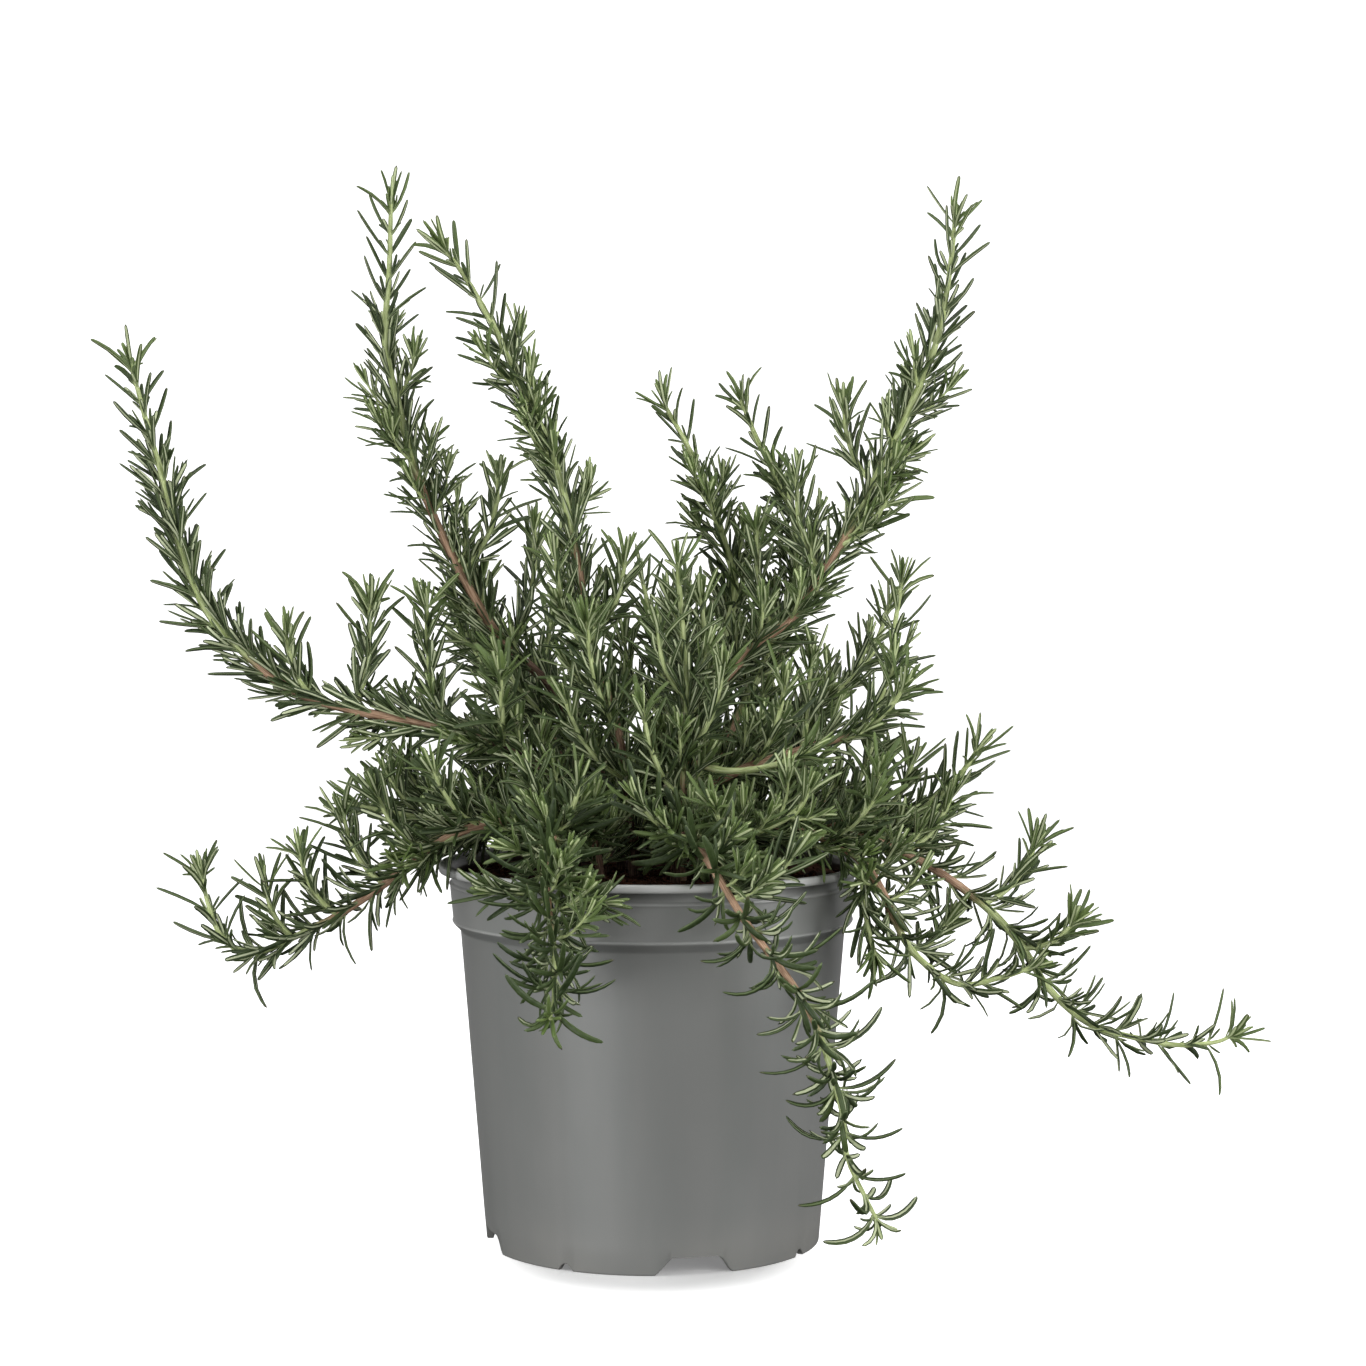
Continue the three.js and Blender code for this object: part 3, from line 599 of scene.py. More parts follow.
def grey_plastic():
    """Streaked and clouded grey, then dust, painted light and shade, and the brown inner wall."""
    recipe = Recipe("grey_plastic", roughness=0.32, specular=0.5)
    place = recipe.place()
    height = recipe.parts(place)[2]
    streaks = recipe.cloud(recipe.stretched(place, (45, 45, 4)), 1.0, 3)
    clouds = recipe.cloud(place, 14, 3)
    grain = recipe.cloud(place, 1400, 2)
    grey = recipe.mix(recipe.span(streaks, 0.3, 0.7), tone(120, 122, 120), tone(125, 126, 124))
    grey = recipe.mix(recipe.span(clouds, 0.45, 0.8, 0.0, 0.4), grey, tone(130, 131, 129))
    low_down = recipe.span(height, DUST_HEIGHT * MM, 0.0)
    dusty = recipe.math("MULTIPLY", low_down, recipe.span(clouds, 0.35, 0.65, 0.1, 0.5))
    grey = recipe.mix(dusty, grey, tone(142, 140, 135))
    grey = painted_light_by_height(recipe, grey, height)
    grey = brown_inside_wall(recipe, grey, place, height)
    recipe.bump(grain, 0.12, 0.0002)
    dull = recipe.span(clouds, 0.3, 0.7, 0.3, 0.35)
    return recipe.finish(grey, recipe.math("ADD", dull, recipe.math("MULTIPLY", dusty, 0.25)))


pot_points, pot_faces = turned(pot_profile, POT_SLICES)
cut_foot(pot_points)
pot = new_piece("nursery_pot", pot_points * MM + POT_AXIS, pot_faces, grey_plastic())
pierce(pot, drain_cutters())
pot.data.shade_smooth()
pot.data.set_sharp_from_angle(angle=POT_CREASE)
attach(pot, "root")
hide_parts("pot")
print("pot:", triangles(pot), "triangles")

# %% [markdown]
# ## Peat
# The pot is full of dark, red-brown peat that shows only at the rim and between the stems. It is a solid
# plug with a loose, lumpy top. The plug is turned inside the wall, and its top is pushed up and down by
# noise at two scales.

# %% Peat plug
SOIL_GAP = 0.4
SOIL_RINGS = 46
SOIL_SLICES = 120
SOIL_EDGE = COLLAR_RADIUS - WALL - SOIL_GAP
SOIL_RADII = [0, 60, SOIL_EDGE - 3, SOIL_EDGE]
SOIL_HEIGHTS = [165, 164.5, 163.5, 161.5]
CLODS = dict(size=9, rise=1.7, layer=3.7)
GRIT = dict(size=2.6, rise=0.8, layer=8.1)


def soil_height(radius):
    """The mean height of the peat at a distance from the pot's axis: flat, then falling to the wall."""
    return np.interp(radius, SOIL_RADII, SOIL_HEIGHTS)


def lumps(x, y):
    """Height of the lumps at one place, in millimetres."""
    return sum(lump["rise"] * noise.noise(Vector((x / lump["size"], y / lump["size"], lump["layer"])))
               for lump in (CLODS, GRIT))


def make_peat(material):
    """The plug: its side follows the inside of the pot's wall, and its top is lumpy."""
    side = [(BASE_RADIUS - WALL - SOIL_GAP, FLOOR_TOP + SOIL_GAP),
            (BODY_TOP_RADIUS - WALL - SOIL_GAP, LEDGE_BOTTOM),
            (COLLAR_RADIUS - WALL - 0.6 - SOIL_GAP, COLLAR_BOTTOM)]
    top = [(radius, soil_height(radius)) for radius in np.linspace(SOIL_EDGE, 0, SOIL_RINGS)]
    points, faces = turned([(0, FLOOR_TOP + SOIL_GAP), *side, *top], SOIL_SLICES)
    for point in points:
        if point[2] > COLLAR_BOTTOM + 1:
            point[2] += lumps(point[0], point[1])
    return new_piece("peat", points * MM + POT_AXIS, faces, material)


def peat_brown():
    """Red-brown clods with paler fibres, rough all over."""
    recipe = Recipe("peat_brown", roughness=0.95, specular=0.25)
    place = recipe.place()
    clods = recipe.cloud(place, 260, 5)
    fibres = recipe.cloud(recipe.stretched(place, (1, 1, 3)), 1300, 4)
    brown = recipe.mix(recipe.span(clods, 0.3, 0.7), tone(42, 26, 18), tone(96, 59, 43))
    brown = recipe.mix(recipe.span(fibres, 0.62, 0.8), brown, tone(134, 96, 70))
    recipe.bump(clods, 0.6, 0.0012)
    recipe.bump(fibres, 0.5, 0.0004)
    return recipe.finish(brown)


brown_peat = peat_brown()
peat = make_peat(brown_peat)
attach(peat, "root")
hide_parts("soil")
print("peat:", triangles(peat), "triangles")

# %% [markdown]
# Loose crumbs and bits of bark lie on the plug. Each is a small ball that is stretched, knocked out of
# round by noise and turned at random. They are joined into one mesh, because hundreds of objects would be
# slow.

# %% Crumbs on the peat
CRUMB_COUNT = 520
CRUMB_SEED = 11
CRUMB_SIZES = (0.5, 1.0)
LARGE_CRUMB = 1.3
CRUMB_STRETCHES = [(0.7, 2.2), (0.6, 1.1), (0.5, 0.9)]
CRUMB_ROUGHNESS = 0.45
CRUMB_RISE = 0.3


def rough_lump(form, middle, size, rng):
    """A small ball with its own stretch along each axis, knocked out of round by noise."""
    ball = bmesh.ops.create_icosphere(form, subdivisions=1, radius=1.0)["verts"]
    stretch = Vector([rng.uniform(*limits) for limits in CRUMB_STRETCHES]) * size
    turn = Vector(rng.normal(size=3)).to_track_quat("Z", "Y")
    shift = Vector(rng.uniform(0, 50, size=3))
    for vertex in ball:
        swell = 1 + CRUMB_ROUGHNESS * noise.noise(vertex.co * 1.7 + shift)
        vertex.co = turn @ (vertex.co * stretch * swell) + middle


def make_crumbs(material):
    """Crumbs spread evenly over the peat, most of them small."""
    rng = np.random.default_rng(CRUMB_SEED)
    form = bmesh.new()
    for _ in range(CRUMB_COUNT):
        radius = (SOIL_EDGE - 2) * math.sqrt(rng.uniform())
        angle = rng.uniform(0, math.tau)
        x, y = radius * math.cos(angle), radius * math.sin(angle)
        size = rng.uniform(*CRUMB_SIZES) + LARGE_CRUMB * rng.uniform() ** 4
        height = soil_height(radius) + lumps(x, y) + size * CRUMB_RISE
        rough_lump(form, Vector((x, y, height)) * MM + Vector(POT_AXIS), size * MM, rng)
    mesh = mesh_of(form, "peat_crumbs")
    mesh.materials.append(material)
    mesh.shade_smooth()
    return add_object("peat_crumbs", mesh)


crumbs = make_crumbs(brown_peat)
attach(crumbs, "root")
print("crumbs:", triangles(crumbs), "triangles")

# %% [markdown]
# ## Stem routes
# Each stem has a route of its own, traced from the picture as the CAD model has it. A root is the place in
# the peat, and the route is the list of points above it, in millimetres from the pot's axis on the floor. A
# shoot is given by its distance along the stem, its length, its heading and its rise above level in
# degrees. A twig is a shoot that has lost all but its last needles, and one of them lies across the middle
# of the bush. The woody number says how far along the stem the bark is brown.
#
# The habit of a stem is how wide its needles open, how strongly they arc and turn upwards, how far apart
# their pairs are, how full the tufts are, how thick the stem is, how broad its needles are, how far from
# the pot's axis its small sprigs reach, how far below the tip its tufts are fully grown, how long its
# needles are, how young and light its tip looks, and how wide its end fans out.

# %% Stem routes
USUAL_HABIT = dict(open=-4, arc=8, pull=0.12, spacing=8.2, tufts=3.0, thick=2.3, broad=1.0,
                   sprigs_to=118, ripens=48, long=1.0, fresh=0.8, fan=33, twigs=())
STEMS = [
    dict(name="stem_left_arch", root=(-22, -8), woody=190, spacing=7.4, tufts=4.6, broad=1.2,
         route=[(-27, -9, 182), (-42, -11, 205), (-66, -13, 222), (-95, -14, 230), (-134, -14, 238),
                (-158, -13, 246), (-178, -12, 261), (-195, -10, 279), (-206, -8, 302), (-214, -6, 333),
                (-223, -4, 364), (-230, -2, 390)],
         shoots=[(72, 45, 270, 50), (98, 58, 130, 76), (140, 50, 60, 78), (158, 34, 220, 64)]),
    dict(name="stem_left_tall", root=(-14, 12), woody=200, spacing=9.0, tufts=2.8, ripens=60, fan=11,
         route=[(-16, 13, 185), (-27, 15, 215), (-46, 17, 246), (-68, 18, 267), (-84, 17, 293),
                (-97, 16, 320), (-106, 15, 343), (-114, 14, 374), (-119, 12, 401), (-117, 11, 432),
                (-116, 10, 462)],
         shoots=[(62, 55, 200, 45), (92, 58, 165, 55), (112, 58, 50, 74), (152, 48, 10, 70)]),
    dict(name="stem_middle_tall", root=(-8, -20), woody=145, spacing=8.6, tufts=3.0, ripens=65, fan=11,
         route=[(-9, -20, 188), (-14, -19, 222), (-24, -18, 258), (-29, -17, 277), (-33, -16, 303),
                (-38, -16, 329), (-46, -16, 355), (-57, -17, 378), (-68, -18, 403), (-81, -18, 426),
                (-90, -18, 438)],
         shoots=[(40, 50, 215, 50), (62, 58, 245, 60), (95, 50, 205, 68), (105, 40, 340, 66)]),
    dict(name="stem_thin_middle", root=(8, 22), woody=70, spacing=9.4, tufts=1.5, long=0.88,
         route=[(10, 24, 190), (18, 27, 225), (29, 30, 258), (37, 31, 288), (32, 31, 311),
                (25, 31, 334), (15, 31, 355), (5, 31, 373)],
         shoots=[(66, 46, 150, 66), (100, 40, 75, 66)]),
    dict(name="stem_thin_right", root=(20, 14), woody=70, spacing=9.4, tufts=1.5, long=0.88,
         route=[(23, 18, 190), (34, 28, 222), (50, 38, 255), (62, 44, 283), (66, 46, 302),
                (63, 46, 325), (56, 45, 340), (47, 45, 358), (40, 45, 375)],
         shoots=[(74, 42, 70, 55), (104, 38, 350, 58)]),
    dict(name="stem_right_tall", root=(8, -6), woody=175, spacing=8.2, tufts=3.3, ripens=46,
         route=[(10, -6, 195), (20, -6, 231), (38, -5, 258), (60, -5, 276), (73, -5, 294),
                (87, -5, 316), (96, -5, 334), (107, -5, 356), (115, -5, 374), (124, -4, 396),
                (129, -3, 418), (132, -2, 440), (133, -1, 453)],
         shoots=[(84, 48, 250, 62), (118, 50, 120, 74), (152, 48, 140, 74), (168, 32, 325, 42),
                (198, 38, 150, 68)]),
    dict(name="stem_right_thin", root=(22, -12), woody=105, spacing=9.2, tufts=1.8, long=0.9,
         route=[(22, -14, 185), (25, -18, 203), (40, -21, 212), (64, -21, 220), (86, -17, 227),
                (97, -10, 237), (104, -3, 252), (108, 5, 276), (111, 9, 293)],
         shoots=[(60, 46, 300, 56), (82, 44, 75, 68), (104, 36, 330, 40)]),
    dict(name="stem_middle_upright", root=(13, -30), woody=40, spacing=7.2, tufts=4.0, thick=1.9,
         route=[(13, -30, 190), (14, -30, 220), (15, -30, 245), (13, -30, 277), (11, -29, 302)],
         shoots=[(32, 50, 230, 58), (52, 46, 320, 62), (76, 34, 200, 68)], twigs=[(50, 62, 334, 7)]),
    dict(name="stem_right_rise", root=(34, 2), woody=60,
         route=[(38, 1, 184), (55, -3, 193), (76, -8, 191), (94, -12, 189), (110, -15, 190),
                (122, -17, 197), (134, -18, 208), (143, -19, 221)],
         shoots=[(40, 46, 60, 58), (62, 40, 40, 50), (82, 32, 20, 55)]),
    dict(name="stem_right_trail", root=(36, -20), woody=125, open=8, arc=30, pull=0.4, spacing=9.8,
         tufts=2.8, ripens=30, broad=1.12,
         route=[(40, -22, 181), (58, -27, 189), (80, -31, 189), (97, -32, 182), (120, -33, 171),
                (144, -33, 154), (160, -33, 137), (173, -33, 117), (190, -33, 102), (208, -32, 96),
                (229, -31, 92), (246, -30, 93), (254, -29, 96)],
         shoots=[(62, 38, 300, 45), (90, 34, 20, 48), (132, 36, 15, 48), (158, 28, 330, 30)]),
    dict(name="stem_right_inner_trail", root=(27, -37), woody=112, open=8, arc=30, pull=0.4, spacing=9.0,
         tufts=3.2, ripens=30, broad=1.12,
         route=[(31, -39, 180), (48, -45, 187), (70, -51, 186), (88, -56, 177), (98, -57, 164),
                (103, -56, 152), (113, -54, 135), (131, -52, 122), (149, -50, 124), (165, -49, 129)],
         shoots=[(60, 34, 320, 35), (80, 44, 285, -62), (124, 30, 50, 20)]),
    dict(name="stem_front_right_trail", root=(10, -45), woody=150, open=16, arc=56, pull=0.4, spacing=9.6,
         tufts=3.6, thick=1.9, broad=1.35, sprigs_to=112, ripens=42, long=1.14, fresh=0.2,
         route=[(11, -48, 181), (14, -62, 188), (20, -83, 184), (29, -101, 172), (38, -109, 158),
                (47, -114, 146), (60, -118, 129), (70, -120, 109), (78, -120, 82), (81, -118, 60),
                (89, -116, 42), (94, -114, 32)],
         shoots=[(44, 34, 215, 35), (86, 34, 15, 35)]),
    dict(name="stem_front_left_trail", root=(-22, -40), woody=110, open=20, arc=34, pull=0.6, spacing=6.2,
         tufts=4.6, thick=1.7, broad=1.15, sprigs_to=142, ripens=14, long=1.18, fresh=0.35,
         route=[(-25, -42, 182), (-33, -56, 192), (-40, -76, 190), (-43, -97, 179), (-42, -109, 165),
                (-40, -116, 152), (-39, -122, 138), (-39, -131, 127), (-40, -142, 121)],
         shoots=[(50, 28, 205, 60), (60, 28, 320, 60), (92, 22, 185, -5), (98, 22, 355, -5)]),
    dict(name="stem_left_low", root=(-39, -20), woody=130, open=4, arc=26, pull=0.3, spacing=7.4, tufts=3.6,
         broad=1.15, fresh=0.45,
         route=[(-43, -22, 181), (-60, -28, 189), (-80, -33, 187), (-97, -36, 178), (-115, -37, 164),
                (-136, -37, 150), (-158, -37, 139), (-175, -36, 133), (-187, -35, 140),
                (-193, -34, 154), (-196, -33, 168)],
         shoots=[(50, 38, 225, 45), (76, 36, 200, 50), (100, 36, 160, 58), (124, 34, 205, 60),
                (146, 28, 160, 62), (44, 24, 160, -12), (60, 24, 215, -16)]),
    dict(name="stem_left_middle", root=(-37, 2), woody=60, tufts=3.6, sprigs_to=140,
         route=[(-41, 2, 181), (-58, -1, 190), (-80, -5, 188), (-98, -8, 190), (-116, -9, 192),
                (-131, -10, 195)],
         shoots=[(40, 42, 130, 50), (62, 36, 170, 45), (76, 28, 210, 45), (30, 26, 195, -14),
                 (46, 26, 170, -20), (60, 24, 200, -22), (50, 22, 150, -40)]),
    dict(name="stem_front_right_short", root=(29, -57), woody=0,
         route=[(31, -59, 180), (37, -62, 186), (50, -65, 191), (62, -66, 198), (67, -66, 207)],
         shoots=[(20, 30, 250, 35)]),
    dict(name="stem_back_left", root=(-26, 27), woody=75,
         route=[(-30, 31, 185), (-42, 44, 212), (-58, 62, 234), (-76, 80, 250), (-90, 96, 268),
                (-98, 108, 290)],
         shoots=[(58, 48, 185, 62), (88, 44, 60, 58), (112, 34, 150, 55)]),
    dict(name="stem_back_middle", root=(1, 42), woody=60,
         route=[(1, 46, 188), (3, 57, 218), (4, 73, 245), (0, 90, 268), (-6, 104, 292)],
         shoots=[(40, 48, 30, 55), (66, 44, 140, 58), (96, 34, 50, 58)]),
    dict(name="stem_back_right", root=(28, 34), woody=75,
         route=[(32, 39, 184), (46, 54, 206), (64, 72, 224), (84, 88, 238), (102, 100, 256),
                (112, 108, 280)],
         shoots=[(50, 44, 330, 50), (80, 40, 120, 58), (106, 34, 20, 55)]),
    dict(name="stem_back_trail", root=(-8, 60), woody=110, open=8, arc=30, pull=0.4, spacing=9.0, tufts=2.4,
         route=[(-8, 65, 182), (-6, 78, 190), (-2, 94, 186), (4, 108, 170), (8, 120, 149),
                (10, 130, 127), (8, 142, 109), (2, 156, 99)],
         shoots=[(38, 36, 50, 40), (52, 36, 145, 35), (92, 28, 20, 0)]),
    dict(name="stem_back_right_low", root=(46, 18), woody=60,
         route=[(51, 22, 181), (68, 36, 190), (84, 52, 190), (98, 68, 184), (112, 82, 178),
                (126, 94, 178), (137, 102, 187)],
         shoots=[(36, 40, 100, 55), (66, 34, 20, 45)]),
    dict(name="stem_back_left_low", root=(-46, 18), woody=60, tufts=3.6, sprigs_to=140,
         route=[(-51, 21, 181), (-67, 32, 190), (-84, 46, 188), (-102, 58, 183), (-118, 70, 183),
                (-131, 80, 190)],
         shoots=[(36, 40, 110, 52), (66, 34, 190, 42), (28, 26, 190, -14), (40, 26, 215, -18),
                 (54, 26, 195, -22), (44, 26, 235, -30), (62, 28, 190, -50)]),
]
STEMS = [{**USUAL_HABIT, **stem} for stem in STEMS]
print(len(STEMS), "stems")

# %% [markdown]
# A smooth line has to pass through every point of a route. A Catmull-Rom spline does, and it is what the
# CAD model uses, so bark and needles lie where the CAD's stems are. The line also carries a cross direction
# along, so that rings of bark and pairs of needles don't spin where the stem bends.

# %% Smooth lines
SPLINE_STEPS = 400
FRAME_STEP = 0.5
CLOSE_TO_X = 0.7


class SmoothLine:
    """A line through points in millimetres, with its place and three directions at any distance along it."""

    def __init__(self, points):
        curve = self.through(np.array(points, float))
        steps = np.linalg.norm(np.diff(curve, axis=0), axis=1)
        walked = np.concatenate([[0], np.cumsum(steps)])
        self.length = walked[-1]
        count = max(3, int(self.length / FRAME_STEP))
        self.stations = np.linspace(0, self.length, count)
        self.places = np.stack([np.interp(self.stations, walked, curve[:, k]) for k in range(3)], axis=1)
        heads = np.gradient(self.places, axis=0)
        self.heads = heads / np.linalg.norm(heads, axis=1)[:, None]
        self.sides = self.carried_sides()

    @staticmethod
    def through(points):
        """A Catmull-Rom spline through the points."""
        before, after = 2 * points[0] - points[1], 2 * points[-1] - points[-2]
        chain = np.vstack([before, points, after])
        spans = len(points) - 1
        t = np.linspace(0, spans, SPLINE_STEPS)
        i = np.minimum(t.astype(int), spans - 1)
        u = (t - i)[:, None]
        p0, p1, p2, p3 = (chain[i + k] for k in range(4))
        leave, arrive = (p2 - p0) / 2, (p3 - p1) / 2
        return ((2 * u**3 - 3 * u**2 + 1) * p1 + (u**3 - 2 * u**2 + u) * leave
                + (3 * u**2 - 2 * u**3) * p2 + (u**3 - u**2) * arrive)

    def carried_sides(self):
        """A cross direction at each station, turned as little as the bends allow."""
        side = np.array([1.0, 0, 0]) if abs(self.heads[0][0]) < CLOSE_TO_X else np.array([0, 1.0, 0])
        sides = []
        for head in self.heads:
            side = side - head * (side @ head)
            side = side / np.linalg.norm(side)
            sides.append(side)
        return np.array(sides)

    def at(self, distance):
        """Place, direction along, and two cross directions."""
        i = int(round(min(max(distance / self.length, 0), 1) * (len(self.stations) - 1)))
        return self.places[i], self.heads[i], self.sides[i], np.cross(self.heads[i], self.sides[i])


quarter = SmoothLine([(math.cos(a), math.sin(a), 0) for a in np.linspace(0, math.pi / 2, 4)])
print("a quarter circle of radius 1 mm through 4 points is", round(quarter.length, 3), "mm long")

# %% [markdown]
# A branch is a main stem, one of its shoots or a twig. Most shoots are in the CAD model too. A real bush
# also carries many sprigs: short leafy side shoots near the middle, where they fill the bush so densely
# that the stems are hardly seen. They are too small for the CAD, so they are grown here by rule along the
# inner part of each stem, at seeded random angles. A negative woody number keeps a branch green all along.

# %% Branches and sprigs
STEM_START = 167
ROOT_BOTTOM = 150
MAIN_TIP = 0.75
SHOOT_LIFTS = (-18, 0, 14)
STEEPEST_RISE = 88
SPRIG_START = 4.0
SPRIG_STEP = 9.6
CROWDED_STEP = 5.5
CROWDED_UNTIL = 36
SPRIG_LENGTHS = (13, 24)
SPRIG_LEAN = 0.75
SPRIG_LIFT = 0.3
HANGING_LIFT = 0.9
STEP_SHARES = (0.6, 1.4)
LOWEST_SPRIG = 118
LOWEST_SPRIG_RISE = -25
LAST_SPRIG = 0.8
BRANCH_SEED = 100

SHOOT_HABIT = {**USUAL_HABIT, "kind": "shoot", "radii": (0.8, 1.15), "woody": -40, "first": 6,
               "spacing": 7.4, "tufts": 2.8}
TWIG_HABIT = {**USUAL_HABIT, "kind": "shoot", "radii": (1.0, 1.6), "woody": 8, "first": 38,
              "spacing": 8.0, "tufts": 1.0}
SPRIG_HABIT = {**USUAL_HABIT, "kind": "sprig", "radii": (0.5, 0.75), "woody": -60, "first": 3,
               "spacing": 5.8, "tufts": 1.0}


def shoot_line(parent, distance, length, heading, rise):
    """A shoot leaves its stem low and turns upwards over three equal stretches."""
    points = [parent.at(distance)[0]]
    turn = math.radians(heading)
    for lift in SHOOT_LIFTS:
        climb = math.radians(min(rise + lift, STEEPEST_RISE))
        level = math.cos(climb)
        step = np.array([math.cos(turn) * level, math.sin(turn) * level, math.sin(climb)])
        points.append(points[-1] + step * length / len(SHOOT_LIFTS))
    return SmoothLine(points)


def sprig_lines(main, reach, rng):
    """Short side shoots within reach of the pot's axis, which lean outwards and a little upwards."""
    lines = []
    distance = SPRIG_START
    while distance < main.length * LAST_SPRIG:
        place, head, side, over = main.at(distance)
        if np.hypot(place[0], place[1]) < reach and place[2] > LOWEST_SPRIG:
            turn = rng.uniform(0, math.tau)
            lift = UPRIGHT * (SPRIG_LIFT + HANGING_LIFT * max(0, -head[2]))
            out = side * math.cos(turn) + over * math.sin(turn)
            away = head * SPRIG_LEAN + out * SPRIG_LEAN + lift
            heading = math.degrees(math.atan2(away[1], away[0]))
            rise = math.degrees(math.asin(away[2] / np.linalg.norm(away)))
            length = rng.uniform(*SPRIG_LENGTHS)
            lines.append(shoot_line(main, distance, length, heading, max(rise, LOWEST_SPRIG_RISE)))
        step = CROWDED_STEP if distance < CROWDED_UNTIL else SPRIG_STEP
        distance += step * rng.uniform(*STEP_SHARES)
    return lines


def branches_of(stem, rng):
    """The main stem first, then its shoots, twigs and sprigs."""
    main = SmoothLine([(*stem["root"], STEM_START), *stem["route"]])
    branches = [{**stem, "kind": "main", "line": main, "radii": (MAIN_TIP, stem["thick"]), "first": 5}]
    for shoot in stem["shoots"]:
        branches.append({**SHOOT_HABIT, "line": shoot_line(main, *shoot), "broad": stem["broad"],
                         "fresh": stem["fresh"]})
    for twig in stem["twigs"]:
        branches.append({**TWIG_HABIT, "line": shoot_line(main, *twig)})
    for line in sprig_lines(main, stem["sprigs_to"], rng):
        branches.append({**SPRIG_HABIT, "line": line, "broad": stem["broad"]})
    return branches


stem_branches = {}
for number, stem in enumerate(STEMS):
    stem_branches[stem["name"]] = branches_of(stem, np.random.default_rng(BRANCH_SEED + number))
for kind in ("main", "shoot", "sprig"):
    lengths = [branch["line"].length for group in stem_branches.values() for branch in group
               if branch["kind"] == kind]
    print(kind, len(lengths), "branches,", round(sum(lengths)), "mm in all")

# %% [markdown]
# ## Bark
# A young rosemary stem is pale green, slightly square and finely ribbed, because the feet of the needles
# run down it. Lower down it turns woody: pinkish brown, then dark brown near the peat, partly as old bark
# and partly as painted shade of the foliage above. Each branch is a tube of rings whose radius grows from
# the tip, with a small swelling where needles sit. The rings also store how woody the bark is there, how
# dark it is painted, and a seamless grain coordinate for the ribs.

# %% Bark tubes
BARK_SIDES = dict(main=10, shoot=10, sprig=6)
BARK_STEP = dict(main=2.2, shoot=2.2, sprig=3.0)
BARK_TAPER = 0.6
BARK_TIP = 1.2
SQUARENESS = 0.07
NODE_SWELLING = 0.12
WOODY_BLEND = 26
DARK_AND_SHADED_BLEND = 120
GRAIN_LENGTH = 9


def radius_at(branch, distance):
    """Thin at the tip, thickening quickly at first and then slowly."""
    tip, root = branch["radii"]
    share = np.clip(1 - distance / branch["line"].length, 0, 1)
    return tip + (root - tip) * share ** BARK_TAPER


def tube_rings(branch):
    """Distances along the branch and the line's frame at each. A main stem starts down in the peat."""
    line = branch["line"]
    count = max(4, int(line.length / BARK_STEP[branch["kind"]]))
    distances = np.linspace(0, line.length, count)
    rings = [line.at(distance) for distance in distances]
    if branch["kind"] == "main":
        place, _, side, _ = rings[0]
        root = place - UPRIGHT * (STEM_START - ROOT_BOTTOM)
        rings.insert(0, (root, UPRIGHT, side, np.cross(UPRIGHT, side)))
        distances = np.insert(distances, 0, ROOT_BOTTOM - STEM_START)
    return distances, rings


def tube_faces(ring_count, sides):
    """The sides between the rings, a pointed tip and a flat root."""
    faces = []
    for ring in range(ring_count - 1):
        low, high = ring * sides, (ring + 1) * sides
        faces += [(low + i, low + (i + 1) % sides, high + (i + 1) % sides, high + i) for i in range(sides)]
    last = (ring_count - 1) * sides
    faces += [(last + i, last + (i + 1) % sides, ring_count * sides) for i in range(sides)]
    faces.append(tuple(reversed(range(sides))))
    return faces


def bark_tube(branch):
    """Ring points, faces, and for each point its woodiness with its painted shade, and its grain coordinate.
    """
    sides = BARK_SIDES[branch["kind"]]
    turns = np.arange(sides) * math.tau / sides
    distances, rings = tube_rings(branch)
    points, woody, grain = [], [], []
    for distance, (place, _, side, over) in zip(distances, rings):
        pair_wave = max(0, math.cos(distance * math.tau / branch["spacing"])) ** 6
        swelling = 1 + NODE_SWELLING * pair_wave
        radii = radius_at(branch, distance) * swelling * (1 + SQUARENESS * np.cos(4 * turns))
        points.append(place + np.outer(radii * np.cos(turns), side) + np.outer(radii * np.sin(turns), over))
        age = np.clip((branch["woody"] - distance) / WOODY_BLEND + 0.5, 0, 1)
        # Partly painted shade: the share that turns the bark dark near the root also stands for the
        # foliage's shade there.
        dark = np.clip((branch["woody"] - distance) / DARK_AND_SHADED_BLEND, 0, 1)
        woody += [(age, dark, 0)] * sides
        grain += [(math.cos(a), math.sin(a), distance / GRAIN_LENGTH) for a in turns]
    line = branch["line"]
    tip = line.places[-1] + line.heads[-1] * radius_at(branch, line.length) * BARK_TIP
    woody.append(woody[-1])
    grain.append((0, 0, distances[-1] / GRAIN_LENGTH))
    return np.vstack([*points, tip]), tube_faces(len(rings), sides), woody, grain


def store(mesh, name, rows):
    """Keeps three numbers for each point of the mesh, for its material to read."""
    kept = mesh.attributes.new(name, "FLOAT_VECTOR", "POINT")
    kept.data.foreach_set("vector", np.array(rows, np.float32).ravel())


def make_bark(name, branches, material):
    """One piece with the bark of a stem and all its branches."""
    points, faces, woody, grain = [], [], [], []
    start = 0
    for branch in branches:
        tube, sides, ages, grains = bark_tube(branch)
        faces += [tuple(start + corner for corner in face) for face in sides]
        points.append(tube)
        woody += ages
        grain += grains
        start += len(tube)
    piece = new_piece(name, np.vstack(points) * MM + POT_AXIS, faces, material)
    store(piece.data, "bark_age_and_shade", woody)
    store(piece.data, "bark_grain", grain)
    return piece


first_branch = stem_branches[STEMS[0]["name"]][0]
print("bark of", first_branch["name"], "has", len(bark_tube(first_branch)[0]), "points")

# %% [markdown]
# The bark's colour follows the stored age, and near the root a stored share of painted shade darkens it.
# Ribs are noise that is fine round the stem and long along it, and they also make the bump.

# %% Bark material


